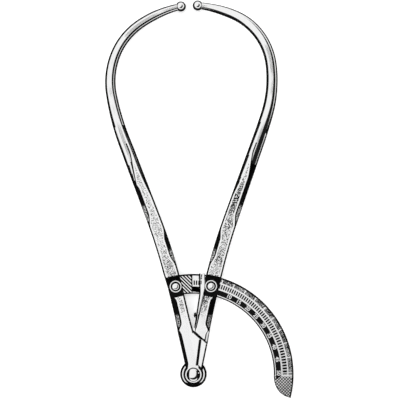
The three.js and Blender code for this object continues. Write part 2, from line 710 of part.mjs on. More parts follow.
function arcPlate() {
  const point = (radius, angle) => [radius * Math.cos(angle * DEGREE), radius * Math.sin(angle * DEGREE)];
  const shape = new THREE.Shape();
  shape.absarc(0, 0, ARC_OUTER_RADIUS, ARC_POINT_ANGLE * DEGREE, ARC_ROOT_ANGLE * DEGREE, false);
  shape.absarc(0, 0, ARC_INNER_RADIUS, ARC_ROOT_ANGLE * DEGREE, ARC_NOSE_ANGLE * DEGREE, true);
  const nose = new THREE.QuadraticBezierCurve(
    new THREE.Vector2(...point(ARC_INNER_RADIUS, ARC_NOSE_ANGLE)),
    new THREE.Vector2(...point(ARC_INNER_RADIUS + ARC_NOSE_BULGE, ARC_POINT_ANGLE)),
    new THREE.Vector2(...point(ARC_OUTER_RADIUS, ARC_POINT_ANGLE)),
  );
  const outline = [...shape.getPoints(ARC_SIDES), ...nose.getPoints(NOSE_SIDES).slice(1, -1)];
  return prism(outline.map(({ x, y }) => [x, y]), ARC_BACK, ARC_FRONT);
}

// Plate with a sunk band for the numerals and a row of sunk cells between the graduations
function scaleArc(reach) {
  const radiusAt = (share) => ARC_INNER_RADIUS + share * ARC_WIDTH;
  const engrave = (start, stop, from, to) => {
    const [low, high] = [ARC_FRONT - ENGRAVING_DEPTH, ARC_FRONT + ENGRAVING_DEPTH];
    return sector(radiusAt(start), radiusAt(stop), from, to, low, high);
  };
  const { numeralStart, numeralEnd, tickStart, tickEnd } = BAND_SHARES;
  const end = readingAngle(SCALE_TOP, reach) - SCALE_RUNOUT_ANGLE;
  const half = TICK_LINE / 2 / ARC_MIDDLE_RADIUS / DEGREE;
  let arc = arcPlate().subtract(engrave(numeralStart, numeralEnd, end, SCALE_START_ANGLE));
  for (let reading = -SCALE_LEAD; reading < SCALE_TOP; reading += 1) {
    const from = readingAngle(reading + 1, reach) + half;
    const to = readingAngle(reading, reach) - half;
    arc = arc.subtract(engrave(tickStart, tickEnd, from, to));
  }
  const hole = disc(SCREW_RADIUS + CLEARANCE, ARC_BACK - OVERRUN, ARC_FRONT + OVERRUN);
  return arc.subtract(hole.translate([-ANCHOR_REACH, SCREW_HEIGHT, 0]));
}

// Screws, collars, washer and nuts, each turned about +Z at the height where it stands

function domedScrew(radius, foot, headBase, headRadius, edge, height) {
  return turned([
    [0, foot],
    [radius, foot],
    [radius, headBase],
    [headRadius, headBase],
    ...dome(headRadius, height, headBase + edge),
  ]);
}

function ring(inner, outer, low, high, edge) {
  return turned([
    [inner, low],
    [outer, low],
    [outer, high - edge],
    [outer - edge, high],
    [inner, high],
    [inner, low],
  ]);
}

function pivotScrew() {
  const head = LEG_FRONT + SEAT_GAP;
  return domedScrew(PIVOT_RADIUS, 0, head, PIVOT_HEAD_RADIUS, PIVOT_HEAD_EDGE, PIVOT_HEAD_DOME);
}

function springWasher() {
  const seat = LEG_BACK + WASHER_RECESS - SEAT_GAP;
  const foot = seat - SPRING_WASHER_THICKNESS;
  return ring(PIVOT_RADIUS + CLEARANCE, SPRING_WASHER_RADIUS, foot, seat, SPRING_WASHER_EDGE);
}

function pivotNut() {
  const top = LEG_BACK + WASHER_RECESS - 2 * SEAT_GAP - SPRING_WASHER_THICKNESS;
  return ring(PIVOT_RADIUS + CLEARANCE, PIVOT_NUT_RADIUS, 0, top, SEAT_GAP);
}

function anchorScrew() {
  const head = COLLAR_TOP + SEAT_GAP;
  return domedScrew(SCREW_RADIUS, 0, head, SCREW_HEAD_RADIUS, SCREW_HEAD_EDGE, SCREW_HEAD_DOME);
}

function anchorCollar() {
  return ring(SCREW_RADIUS + CLEARANCE, COLLAR_RADIUS, COLLAR_BASE, COLLAR_TOP, COLLAR_EDGE);
}

function anchorNut() {
  return ring(SCREW_RADIUS + CLEARANCE, ANCHOR_NUT_RADIUS, 0, LEG_BACK - SEAT_GAP, SEAT_GAP);
}

// Threaded bush: collar above the leg, spigot in it, and a wider bore below for the pad
function clampBush() {
  const padCeiling = MORTISE_FRONT + PAD_THICKNESS + CLAMP_TRAVEL + SEAT_GAP;
  return turned([
    [PAD_RADIUS + CLEARANCE, MORTISE_FRONT + SEAT_GAP],
    [BUSH_SPIGOT_RADIUS, MORTISE_FRONT + SEAT_GAP],
    [BUSH_SPIGOT_RADIUS, COLLAR_BASE],
    [COLLAR_RADIUS, COLLAR_BASE],
    [COLLAR_RADIUS, COLLAR_TOP - COLLAR_EDGE],
    [COLLAR_RADIUS - COLLAR_EDGE, COLLAR_TOP],
    [SCREW_RADIUS + CLEARANCE, COLLAR_TOP],
    [SCREW_RADIUS + CLEARANCE, padCeiling],
    [PAD_RADIUS + CLEARANCE, padCeiling],
    [PAD_RADIUS + CLEARANCE, MORTISE_FRONT + SEAT_GAP],
  ]);
}

function clampScrew() {
  const foot = MORTISE_FRONT + PAD_THICKNESS + SEAT_GAP;
  const head = COLLAR_TOP + CLEARANCE;
  return domedScrew(SCREW_RADIUS, foot, head, SCREW_HEAD_RADIUS, SCREW_HEAD_EDGE, SCREW_HEAD_DOME);
}

function clampPad() {
  return disc(PAD_RADIUS, MORTISE_FRONT, MORTISE_FRONT + PAD_THICKNESS);
}

// The instrument

function atScrew(mesh, x) {
  mesh.position.set(x, SCREW_HEIGHT, 0);
  return mesh;
}

const leftRuns = runsOf([
  [LEFT_FLANK_RADIUS, LEFT_FLANK_ANGLE],
  [LEFT_SHOULDER_RADIUS, LEFT_SHOULDER_ANGLE],
  [LEFT_CROWN_RADIUS, LEFT_CROWN_ANGLE],
  [LEFT_END_RADIUS, LEFT_END_ANGLE],
]);
const rightRuns = runsOf([
  [RIGHT_FLANK_RADIUS, RIGHT_FLANK_ANGLE],
  [RIGHT_SHOULDER_RADIUS, RIGHT_SHOULDER_ANGLE],
  [RIGHT_CROWN_RADIUS, RIGHT_CROWN_ANGLE],
  [RIGHT_END_RADIUS, RIGHT_END_ANGLE],
]);
const ballPlace = placeAt(leftRuns, lengthOf(leftRuns));
const reach = Math.hypot(ballPlace.x, ballPlace.y);

const leftSide = new THREE.Group();
leftSide.add(
  piece("left_arm", leftArm(leftRuns), materials.forging),
  placedBall("left_ball_tip", leftRuns, -1),
  piece("scale_arc", scaleArc(reach), materials.scale),
  atScrew(piece("arc_anchor_screw", anchorScrew(), materials.screw), -ANCHOR_REACH),
  atScrew(piece("arc_anchor_collar", anchorCollar(), materials.screw), -ANCHOR_REACH),
  atScrew(piece("arc_anchor_nut", anchorNut(), materials.inner), -ANCHOR_REACH),
);

const rightSide = new THREE.Group();
rightSide.add(
  piece("right_arm", rightArm(rightRuns), materials.forging),
  placedBall("right_ball_tip", rightRuns, 1),
  piece("index_leaf", indexLeaf(), materials.scale),
  leafScrew(),
  atScrew(piece("clamp_bush", clampBush(), materials.screw), CLAMP_REACH),
  atScrew(piece("clamp_screw", clampScrew(), materials.screw), CLAMP_REACH),
  atScrew(piece("clamp_pad", clampPad(), materials.inner), CLAMP_REACH),
);

const pivot = new THREE.Group();
pivot.add(
  piece("pivot_screw", pivotScrew(), materials.screw),
  piece("pivot_spring_washer", springWasher(), materials.inner),
  piece("pivot_nut", pivotNut(), materials.inner),
);

const pelvimeter = new THREE.Group();
pelvimeter.add(leftSide, rightSide, pivot);

export default pelvimeter;
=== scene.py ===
import json
import math

import bmesh
import bpy
from mathutils import Matrix, Vector


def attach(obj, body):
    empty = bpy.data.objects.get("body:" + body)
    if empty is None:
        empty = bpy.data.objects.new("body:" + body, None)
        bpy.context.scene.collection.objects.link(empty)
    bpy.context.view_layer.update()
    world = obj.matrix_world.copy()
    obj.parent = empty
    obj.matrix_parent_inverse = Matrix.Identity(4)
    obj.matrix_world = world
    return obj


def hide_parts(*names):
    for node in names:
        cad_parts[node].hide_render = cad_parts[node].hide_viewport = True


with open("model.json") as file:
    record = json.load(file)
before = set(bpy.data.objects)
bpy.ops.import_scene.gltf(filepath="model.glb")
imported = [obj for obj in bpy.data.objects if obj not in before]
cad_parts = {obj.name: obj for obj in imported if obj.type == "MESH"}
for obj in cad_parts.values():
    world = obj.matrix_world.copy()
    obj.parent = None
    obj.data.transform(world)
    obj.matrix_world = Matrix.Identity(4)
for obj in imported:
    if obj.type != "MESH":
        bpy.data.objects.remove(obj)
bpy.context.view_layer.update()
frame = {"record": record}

# Lengths are in millimetres and angles in degrees; pieces are made in millimetres and
# scaled to metres at the end
MM = 0.001
DEGREE = math.radians(1)
RIGHT_ANGLE = 90
FULL_TURN = 4 * RIGHT_ANGLE

# Camera: the photograph's centre, width and roll in the instrument's own frame
PICTURE_CENTRE = (9.2, 185.7)
PICTURE_WIDTH = 425.6
PICTURE_ROLL = -0.667
LENS = 100
SENSOR = 36
CAMERA_REACH = 100

# Light: a broad bright sky that leans to the upper left, a dark gap, and a bright horizon
SKY_TILT = 44
SKY_TURN = 140
SKY_EDGE = 0.58
SKY_LOW = 0.66
SKY_SOFTNESS = 0.022
SKY_DARK = 0.012
SKY_SEEN = 1.0
SKY_LIGHT = 1.6
FLOOR_SIZE = 20
FLOOR_SHADE = 0.9
FLOOR_GLOW = 0.3

# General fits
CLEARANCE = 0.3
SEAT_GAP = 0.25
RUNNING_CLEARANCE = 0.15
OVERRUN = 6

# Ball tips
BALL_RADIUS = 5.35
BALL_FLAT = 4.1
SPIGOT_RADIUS = 1.6
SPIGOT_LENGTH = 7

# Arm centre line
FOOT_OFFSET = 1.8
LEAN_ANGLE = 12.74
LEG_LENGTH = 90.9
SWEEP = (641, -7.42)
SHANK_LENGTH = 84.4
LEFT_BOW = ((274.2, 11.29), (79.3, 30.07), (71.4, 35.26), (122.5, 22.38))
RIGHT_BOW = ((632.3, 2.75), (129.9, 23.67), (66.2, 58.87), (131, 17.64))

# Arm sections
LEG_WIDTH = 14.8
SHANK_WIDTH = 12.2
ROD_WIDTH = 10.3
NECK_WIDTH = 9.1
TIP_WIDTH = 6.8
LEG_THICKNESS = 6.4
ROD_THICKNESS = 7
TIP_THICKNESS = 6.4
EDGE_WIDTH = 1.7
EDGE_DEPTH = 1.1
ROD_FLAT = 0.3
FLAT_END = 196
TONGUE_END = 246
TONGUE_LEAN_SHARE = 0.16
TONGUE_FADE = 60
ARM_STEP = 2.5
CORNER_STEPS = 10
WIDTH_SHARES = {"leg": 0.25, "shank": 0.58, "rod": 0.7, "neck": 0.93}
ROD_THICKNESS_SHARE = 0.62
BACK_BEVEL_SHARE = 0.5
# Painted shade on the arm: shares of the outline strips on each side, and the dark crest of the flat
OUTLINE_SHARE = 0.29
LIT_OUTLINE_SHARE = 0.4
CREST_LENGTH = 60
CREST_STRIPS = 3
LEFT_CREST_MERGE = 208
RIGHT_CREST_MERGE = 224

# How far an arm's side stands out past the plain taper: place along the arm, then length
LEFT_OUTER_OUTSET = ((0, 0.7), (45, 0.3), (65, -0.5), (96, -0.5), (112, 0.3))
LEFT_INNER_OUTSET = ((40, 0), (50, 1.1), (130, 1.2), (250, 1.5), (320, 0.8))
RIGHT_OUTER_OUTSET = ((0, 2.6), (34, 2.4), (52, 1.5), (75, 1.4), (115, 1.9))
OUTSET_FADE = 60

# Stopped bevels: start, length and run-out along the centre line, then width and depth
FOOT_BEVEL = (6, 46, 8, 3.9, 1.9)
LOWER_BEVEL = (48, 42, 9, 6.2, 2.6)
INNER_BEVEL = (117, 42, 13, 4.4, 2.4)
OUTER_BEVEL = (164, 56, 15, 5, 2.8)
RIGHT_OUTER_BEVEL = (164, 74, 15, 5, 2.8)
BEVEL_LEAST_SHARE = 0.12

# Half-lap joint
LAP_GAP = 0.3
LAP_HEIGHT = 45
LAP_CROSS = 1.5
SHOULDER_GAP = 1.4
SHOULDER_SLOPE = 42.8
CHEEK_REACH = 9.6
CHEEK_NECK = 5.3
CHEEK_BLEND = 12
CHEEK_EDGE = 2.8
CHEEK_EDGE_DEPTH = 1.75
SHOULDER_EDGE = 0.7
GROOVE_OVERRUN = 1
LAP_EDGE_SHARE = 0.77
EYE_SHADE = (-155, -25)
FRONT_EYE_RADIUS = 10.75
REAR_EYE_RADIUS = 14.2
EYE_BEVEL = 2.2

# Pivot screw, spring washer and nut; a head has a radius, an edge and a dome's height
PIVOT_RADIUS = 3.2
PIVOT_HEAD = (7.4, 0.7, 2.3)
KEY_REACH = 2.7
KEY_MARGIN = 0.4
KEY_HALF_ANGLE = 66
KEY_BRIDGE = 1
KEY_BRIDGE_ANGLE = 20
PIVOT_NUT_RADIUS = 6.2
WASHER_RADIUS = 6.6
WASHER_THICKNESS = 0.45
WASHER_RECESS = 0.6

# Graduated arc
ARC_INNER_RADIUS = 85.8
ARC_WIDTH = 21.1
ARC_THICKNESS = 1.5
ARC_SETBACK = 0.35
ARC_ROOT_ANGLE = 103
ARC_NOSE_ANGLE = -1.3
ARC_NOSE_BULGE = 2.6
ARC_POINT_ANGLE = -14.5
ARC_RIM = 0.95
ROOT_LINE_ANGLE = 0.7
ARC_OUTLINE = 1.7
ARC_INLINE = 1.4
TAIL_ANGLE = -4.7
SCALE_START_ANGLE = 89.9
SCALE_ZERO_ANGLE = 79.3
SCALE_UNIT = 10
SCALE_TOP = 50
SCALE_FIRST_NUMERAL = 10
SCALE_STRIDE = 5
SCALE_LEAD = 7
SCALE_RUNOUT_ANGLE = 1
ENGRAVING_DEPTH = 0.25
SATIN_DEPTH = 0.1
TICK_LINE = 0.95
LONG_LINE = 1.1
NUMERAL_SIZE = 5.6
NUMERAL_WEIGHT = 0.1
BAND_SHARES = {"numeral": (0.107, 0.37), "tick": (0.445, 0.673), "satin": (0.74, 0.93)}

# Screws that anchor and clamp the arc
ANCHOR_INSET = 1.6
CLAMP_OUTSET = 0.4
COLLAR_RADIUS = 6.4
COLLAR_THICKNESS = 1.15
COLLAR_GROOVE_RADIUS = 5.35
COLLAR_GROOVE_DEPTH = 0.5
SCREW_HEAD = (4.3, 0.5, 1.9)
SCREW_RADIUS = 2
ANCHOR_NUT_RADIUS = 4.4
HOLLOW_LENGTH = 23
HOLLOW_DEPTH = 0.9
SPOT_DEPTH = 0.1
BUSH_SPIGOT_RADIUS = 3.9
PAD_RADIUS = 2.6
PAD_THICKNESS = 0.9
CLAMP_TRAVEL = 0.5

# Index leaf
LEAF_SEAT_ANGLE = 14.2
LEAF_SEAT_CUT = 1
LEAF_SEAT_RISE = 4.5
LEAF_FOOT_WIDTH = 1.1
LEAF_TOP_WIDTH = 4.5
LEAF_INSET = 0.3
LEAF_TOP_MARGIN = 0.5
LEAF_EDGE = 1.6
LEAF_BACK_EDGE = 0.4
SEAT_EDGE = 1.2
SLIT_WIDTH = 1.3
INDEX_ANGLE = 84.6
LEAF_SCREW_RISE = 18
LEAF_SCREW_RADIUS = 1.3
LEAF_SCREW_HEAD = 2.9
LEAF_SCREW_DOME = 2.2
LEAF_SCREW_LENGTH = 8

# Nickel plate: its reflectance, its edge tint, the painted shade on its sides, and the painted dark rim
# line above them
NICKEL = 0.9
EDGE_TINT = 0.15
SIDE_PAINTED_SHADE = 0.4
RIM_SHADE = 0.02
PIECE_RIM = (0.35, 0.5, 0.7, 0.8)
BALL_RIM = (0.1, 0.16, 0.7, 0.8)
PLAIN_STEEL = 0.7
CLOUD_SHARE = 0.97

# Roughness, and the shades of dark places, most of them painted shade: edges, hollows, bevels and
# hatching
POLISH = 0.06
PLAIN_POLISH = 0.16
SATIN_ROUGHNESS = (0.09, 0.16)
ARC_ROUGHNESS = 0.14
BAND_ROUGHNESS = 0.18
DARK_ROUGHNESS = 0.3
ENAMEL_ROUGHNESS = 0.6
ENAMEL_GLOSS = 0.06
ENAMEL_SHADES = (0.002, 0.01)
EDGE_SHADE = 0.005
HOLLOW_SHADE = 0.004
BEVEL_SHADE = 0.005
HATCH_SHADE = 0.01
ROD_HATCH_SHADE = 0.08
INK = 0.03
ARC_DULLEST = 0.82
BAND_SHADE = 0.8

# Clouds: scale per metre, detail, and the two values of the noise that they lie between
SMEARS = (90, 3, 0.35, 0.7)
PLATE_CLOUDS = (140, 2, 0.3, 0.7)
PAINTED_SHADE_CLOUDS = (700, 3, 0.4, 0.75)
PIT_CLOUDS = (55, 2, 0.36, 0.64)
BAND_CLOUDS = (70, 2, 0.38, 0.62)
ARC_CLOUDS = (200, 2, 0.3, 0.7)
ENAMEL_CLOUDS = (900, 2, 0.3, 0.8)
ROD_HATCH_PATCHES = (26, 1, 0.46, 0.56)

# Grains: scale per metre and depth
POLISHED_GRAIN = (2400, 0.001)
ARC_GRAIN = (1800, 0.0025)
DARK_GRAIN = (1500, 0.005)
PIT_GRAIN = (1500, 0.01)

# Lines of painted hatched shade: angle, pitch, and the share of the pitch that is dark
ROD_SHADE_HATCHING = (62, 1.1, 0.45)
POINT_HATCHING = ((45, 2.3, 0.34), (-45, 2.3, 0.34))
ROOT_HATCHING = (45, 2.6, 0.6)
ROD_HATCH_REACH_SHARES = (0.32, 0.16)
HATCH_SETBACK = 0.8

# Pits of the satin: scales per metre, sizes, and how thickly they lie in each place
PIT_SCALES = (800, 1900)
BAND_PIT_SCALES = (1200, 2600)
PIT_SHARES = (1, 0.7)
RAGGED_SCALE = 1500
PIT_DISORDER = 0.85
PIT_DENSITY = (0.36, 0.46)
BAND_DENSITY = (0.48, 0.62)
PANEL_DENSITY = 0.5
PANEL_SHADES = (0.02, 0.62)
PIT_BORDER = (0.9, 1.7)
PITS_START = (48, 75)
DARK_PATCH = ((166, 176), (208, 198))
PATCH_DENSITY = 0.2
PATCH_LEAST = 0.25

# Soft edges along and across a bevel's grey panel and its painted highlight; the right foot's bevel
# counts on from 1
PANEL_SHARES = (((0.1, 0.16), (0.46, 0.38)), ((0.25, 0.35), (0.88, 0.8)))
PAINTED_HIGHLIGHT_SHARES = (((1.66, 1.72), (1.95, 1.9)), ((0.25, 0.35), (0.8, 0.7)))

# Fineness of the surfaces
ROUND_SIDES = 72
DOME_STEPS = 12
DOME_POWER = 4.5
ARC_STEP = 0.5
SMOOTH_ANGLE = 28
WELD = 0.002

# Worked out from them
MIDDLE = BALL_RADIUS
LEG_FRONT = MIDDLE + LEG_THICKNESS / 2
LEG_BACK = MIDDLE - LEG_THICKNESS / 2
ARC_BACK = MIDDLE - ARC_SETBACK - ARC_THICKNESS / 2
ARC_FRONT = ARC_BACK + ARC_THICKNESS
MORTISE_BACK = ARC_BACK - CLEARANCE
MORTISE_FRONT = ARC_FRONT + CLEARANCE
SPOT_FLOOR = LEG_FRONT - HOLLOW_DEPTH - SPOT_DEPTH
COLLAR_BASE = SPOT_FLOOR + SEAT_GAP
COLLAR_TOP = COLLAR_BASE + COLLAR_THICKNESS
COLLAR_EDGE = COLLAR_THICKNESS / 6
WASHER_EDGE = WASHER_THICKNESS / 4
ARC_OUTER_RADIUS = ARC_INNER_RADIUS + ARC_WIDTH
ARC_MIDDLE_RADIUS = ARC_INNER_RADIUS + ARC_WIDTH / 2
BELOW = LEG_BACK - OVERRUN
ABOVE = LEG_FRONT + OVERRUN
LAP_BACK = MIDDLE - LAP_GAP / 2
LAP_FRONT = MIDDLE + LAP_GAP / 2
CHEEK_TOP = LAP_HEIGHT + CHEEK_BLEND
SCREW_HOLE = SCREW_RADIUS + CLEARANCE
LEAN = LEAN_ANGLE * DEGREE
SCREW_HEIGHT = ARC_MIDDLE_RADIUS * math.cos(LEAN)
SCREW_CENTRE = SCREW_HEIGHT * math.tan(LEAN) - FOOT_OFFSET
ANCHOR_REACH = SCREW_CENTRE - ANCHOR_INSET
CLAMP_REACH = SCREW_CENTRE + CLAMP_OUTSET
LEAF_SEAT_FOOT = LAP_HEIGHT + LEAF_SEAT_RISE
LEAF_SEAT_REACH = CLAMP_REACH - COLLAR_RADIUS
LEAF_SCREW_HEIGHT = LAP_HEIGHT + LEAF_SCREW_RISE
SHOULDER = Vector((math.cos(SHOULDER_SLOPE * DEGREE), -math.sin(SHOULDER_SLOPE * DEGREE)))
UP = Vector((0, 0, 1))

# Places of the finishes in a piece's list of materials; EDGE and HOLLOW are painted shade, BEVEL is
# painted shade with a painted highlight, and ROD carries painted hatched shade, while the arc puts its
# own satin, stippled band and black enamel in the SATIN, BEVEL and HOLLOW places
POLISHED, SATIN, EDGE, BEVEL, HOLLOW, ROD = range(6)


# Stage, camera and light

def make_camera():
    data = bpy.data.cameras.new("camera")
    data.lens = LENS
    data.sensor_width = SENSOR
    data.clip_end = CAMERA_REACH
    camera = bpy.data.objects.new("camera", data)
    bpy.context.scene.collection.objects.link(camera)
    distance = PICTURE_WIDTH * LENS / SENSOR + LEG_FRONT
    camera.location = Vector((*PICTURE_CENTRE, distance)) * MM
    camera.rotation_euler = (0, 0, PICTURE_ROLL * DEGREE)
    bpy.context.scene.camera = camera


def node_tree(owner):
    owner.use_nodes = True
    tree = owner.node_tree
    tree.nodes.clear()
    return tree


class Nodes:
    """Short calls for building a node tree."""

    def __init__(self, tree):
        self.tree = tree

    def add(self, kind, settings=None, **inputs):
        node = self.tree.nodes.new(kind)
        for key, value in (settings or {}).items():
            setattr(node, key, value)
        for key, value in inputs.items():
            self.feed(node, key, value)
        return node

    def feed(self, node, key, value):
        numbered = key[0] == "i" and key[1:].isdigit()
        socket = node.inputs[int(key[1:])] if numbered else node.inputs[key.replace("_", " ")]
        if isinstance(value, bpy.types.NodeSocket):
            self.tree.links.new(value, socket)
        else:
            socket.default_value = value

    def math(self, operation, first, second=0.0, third=0.0):
        settings = {"operation": operation}
        return self.add("ShaderNodeMath", settings, i0=first, i1=second, i2=third).outputs[0]

    def times(self, first, second):
        return self.math("MULTIPLY", first, second)

    def vector(self, operation, *values):
        inputs = {f"i{place}": value for place, value in enumerate(values)}
        return self.add("ShaderNodeVectorMath", {"operation": operation}, **inputs).outputs

    def step(self, value, low, high):
        """Rises smoothly from 0 at low to 1 at high."""
        settings = {"interpolation_type": "SMOOTHSTEP"}
        return self.add("ShaderNodeMapRange", settings, i0=value, i1=low, i2=high).outputs[0]

    def blend(self, factor, low, high):
        settings = {"data_type": "FLOAT"}
        return self.add("ShaderNodeMix", settings, i0=factor, i2=low, i3=high).outputs[0]

    def window(self, value, rise, fall):
        """1 between two soft edges."""
        return self.times(self.step(value, *rise), self.step(value, *fall))

    def patch(self, place, edges):
        """1 inside a soft-edged patch, given by its edges along and across."""
        along, across = edges
        return self.times(self.window(place["X"], *along), self.window(place["Y"], *across))

    def split(self, vector):
        return self.add("ShaderNodeSeparateXYZ", i0=vector).outputs

    def place(self):
        return self.add("ShaderNodeTexCoord").outputs["Object"]

    def run(self):
        """A strip's own coordinates: distances from its borders, or shares of its size."""
        return self.split(self.add("ShaderNodeUVMap", {"uv_map": "run"}).outputs[0])

    def noise(self, scale, detail=2):
        return self.add("ShaderNodeTexNoise", Vector=self.place(), Scale=scale, Detail=detail).outputs

    def clouds(self, pattern, low, high):
        """A value that drifts between two values."""
        scale, detail, *places = pattern
        node = self.add("ShaderNodeValToRGB", i0=self.noise(scale, detail)[0])
        for element, place, value in zip(node.color_ramp.elements, places, (low, high)):
            element.position = place
            element.color = (value, value, value, 1)
        return node.outputs["Color"]

    def finish(self, shader, kind="ShaderNodeOutputMaterial"):
        out = self.add(kind)
        self.tree.links.new(shader.outputs[0], out.inputs["Surface"])


def make_world():
    world = bpy.data.worlds.new("studio")
    bpy.context.scene.world = world
    nodes = Nodes(node_tree(world))
    direction = nodes.add("ShaderNodeTexCoord").outputs["Generated"]
    across = polar(math.sin(SKY_TILT * DEGREE), SKY_TURN)
    middle = (*across, math.cos(SKY_TILT * DEGREE))
    towards = nodes.vector("DOT_PRODUCT", direction, middle)["Value"]
    main = nodes.step(towards, SKY_EDGE - SKY_SOFTNESS, SKY_EDGE + SKY_SOFTNESS)
    height = nodes.split(direction)["Z"]
    low = nodes.step(height, SKY_LOW + SKY_SOFTNESS, SKY_LOW - SKY_SOFTNESS)
    shade = nodes.blend(nodes.math("MAXIMUM", main, low), SKY_DARK, 1.0)
    glossy = nodes.add("ShaderNodeLightPath").outputs["Is Glossy Ray"]
    strength = nodes.blend(glossy, SKY_LIGHT, SKY_SEEN)
    light = nodes.add("ShaderNodeBackground", Color=shade, Strength=strength)
    nodes.finish(light, "ShaderNodeOutputWorld")


def make_floor():
    mesh = bpy.data.meshes.new("floor")
    corners = [(-1, -1), (1, -1), (1, 1), (-1, 1)]
    mesh.from_pydata([(FLOOR_SIZE * x, FLOOR_SIZE * y, 0) for x, y in corners], [], [range(4)])
    floor = bpy.data.objects.new("floor", mesh)
    bpy.context.scene.collection.objects.link(floor)
    material = bpy.data.materials.new("floor")
    nodes = Nodes(node_tree(material))
    path = nodes.add("ShaderNodeLightPath").outputs
    seen = nodes.math("MAXIMUM", path["Is Camera Ray"], path["Is Glossy Ray"])
    seen = nodes.math("MAXIMUM", seen, path["Is Transmission Ray"])
    diffuse = nodes.add("ShaderNodeBsdfDiffuse", Color=(FLOOR_SHADE, FLOOR_SHADE, FLOOR_SHADE, 1))
    glow = nodes.add("ShaderNodeEmission", Strength=nodes.times(seen, FLOOR_GLOW))
    nodes.finish(nodes.add("ShaderNodeAddShader", i0=diffuse.outputs[0], i1=glow.outputs[0]))
    mesh.materials.append(material)


# Materials

def new_material(name):
    material = bpy.data.materials.new(name)
    return material, Nodes(node_tree(material))


def dulled(nodes, value, rim):
    """Paints shade on the sides, with a painted dark line along the brow above them."""
    normal = nodes.split(nodes.add("ShaderNodeNewGeometry").outputs["Normal"])
    upright = nodes.math("ABSOLUTE", normal["Z"])
    side = nodes.blend(nodes.step(upright, *rim[:2]), SIDE_PAINTED_SHADE, RIM_SHADE)
    return nodes.times(value, nodes.blend(nodes.step(upright, *rim[2:]), side, 1.0))


def metal(nodes, shade, roughness, grain, pits=None):
    """A metal with a fine grain, or with pits of the grain's depth."""
    scale, depth = grain
    height = nodes.noise(scale)[0] if pits is None else pits
    bump = nodes.add("ShaderNodeBump", Height=height, Strength=1.0, Distance=depth * MM)
    tint = (EDGE_TINT, EDGE_TINT, EDGE_TINT, 1)
    nodes.finish(nodes.add(
        "ShaderNodeBsdfPrincipled",
        Base_Color=shade,
        Metallic=1.0,
        Roughness=roughness,
        Specular_Tint=tint,
        Normal=bump.outputs[0],
    ))


def polish(nodes, value, roughness):
    """Shade and roughness of a polished plate, both faintly clouded."""
    shade = nodes.clouds(PLATE_CLOUDS, CLOUD_SHARE * value, value)
    return shade, nodes.clouds(SMEARS, roughness, 2 * roughness)


def polished_nickel(name, value=NICKEL, roughness=POLISH, rim=PIECE_RIM):
    material, nodes = new_material(name)
    shade, rough = polish(nodes, value, roughness)
    metal(nodes, dulled(nodes, shade, rim), rough, POLISHED_GRAIN)
    return material


def rod_nickel(name):
    """Polished rod with patches of painted hatched shade along its middle."""
    material, nodes = new_material(name)
    shade, rough = polish(nodes, NICKEL, POLISH)
    middle = nodes.step(nodes.math("ABSOLUTE", nodes.run()["X"]), *ROD_HATCH_REACH_SHARES)
    scale, detail, start, stop = ROD_HATCH_PATCHES
    patches = nodes.step(nodes.noise(scale, detail)[0], start, stop)
    hatched_shade = nodes.times(hatching(nodes, ROD_SHADE_HATCHING), nodes.times(middle, patches))
    metal(nodes, nodes.blend(hatched_shade, shade, ROD_HATCH_SHADE), rough, POLISHED_GRAIN)
    return material


# Dark metal that is painted shade: the black outlines, chamfers and hollows
def dark_metal(name, value):
    material, nodes = new_material(name)
    metal(nodes, nodes.clouds(PAINTED_SHADE_CLOUDS, value, 3 * value), DARK_ROUGHNESS, DARK_GRAIN)
    return material


def stipple(nodes, density, low, high, scales=PIT_SCALES):
    """Pitted satin: coarse and fine ragged pits whose size follows the density."""
    ragged = nodes.noise(RAGGED_SCALE, 1)["Color"]
    shifted = nodes.vector("MULTIPLY_ADD", ragged, (MM, MM, 0), nodes.place())[0]
    pits = []
    for scale, share in zip(scales, PIT_SHARES):
        spots = nodes.add("ShaderNodeTexVoronoi", Vector=shifted, Scale=scale, Randomness=PIT_DISORDER)
        pits.append(nodes.math("LESS_THAN", spots.outputs["Distance"], nodes.times(density, share)))
    return nodes.blend(nodes.math("MAXIMUM", *pits), high, low)


def satin_front(name):
    material, nodes = new_material(name)
    border = nodes.run()
    inside = nodes.step(nodes.math("MINIMUM", border["X"], border["Y"]), *PIT_BORDER)
    place = nodes.split(nodes.place())
    height = nodes.math("DIVIDE", place["Y"], MM)
    patch = nodes.math("MAXIMUM", nodes.window(height, *DARK_PATCH), PATCH_LEAST)
    patch = nodes.times(patch, nodes.math("GREATER_THAN", place["X"], 0.0))
    cloud = nodes.clouds(PIT_CLOUDS, *PIT_DENSITY)
    density = nodes.math("MULTIPLY_ADD", patch, PATCH_DENSITY, cloud)
    above = nodes.times(inside, nodes.step(height, *PITS_START))
    shade = stipple(nodes, nodes.times(density, above), INK, NICKEL)
    metal(nodes, shade, nodes.blend(inside, *SATIN_ROUGHNESS), PIT_GRAIN, shade)
    return material


def bevel_shade(name):
    """Bevels: painted shade with a grey panel, and a painted highlight on the right foot."""
    material, nodes = new_material(name)
    place = nodes.run()
    grain = stipple(nodes, PANEL_DENSITY, *PANEL_SHADES)
    panel = nodes.blend(nodes.patch(place, PANEL_SHARES), BEVEL_SHADE, grain)
    shade = nodes.blend(nodes.patch(place, PAINTED_HIGHLIGHT_SHARES), panel, NICKEL)
    metal(nodes, shade, DARK_ROUGHNESS, DARK_GRAIN)
    return material


def black_enamel(name):
    material, nodes = new_material(name)
    nodes.finish(nodes.add(
        "ShaderNodeBsdfPrincipled",
        Base_Color=nodes.clouds(ENAMEL_CLOUDS, *ENAMEL_SHADES),
        Roughness=ENAMEL_ROUGHNESS,
        Specular_IOR_Level=ENAMEL_GLOSS,
    ))
    return material


def hatching(nodes, lines):
    """Straight lines of painted hatched shade, given by angle, pitch and share: 1 on a line, 0 between
    them.
    """
    angle, pitch, share = lines
    place = nodes.split(nodes.place())
    x, y = polar(1 / (pitch * MM), angle)
    along = nodes.math("ADD", nodes.times(place["X"], x), nodes.times(place["Y"], y))
    return nodes.math("LESS_THAN", nodes.math("PINGPONG", along, 1 / 2), share / 2)


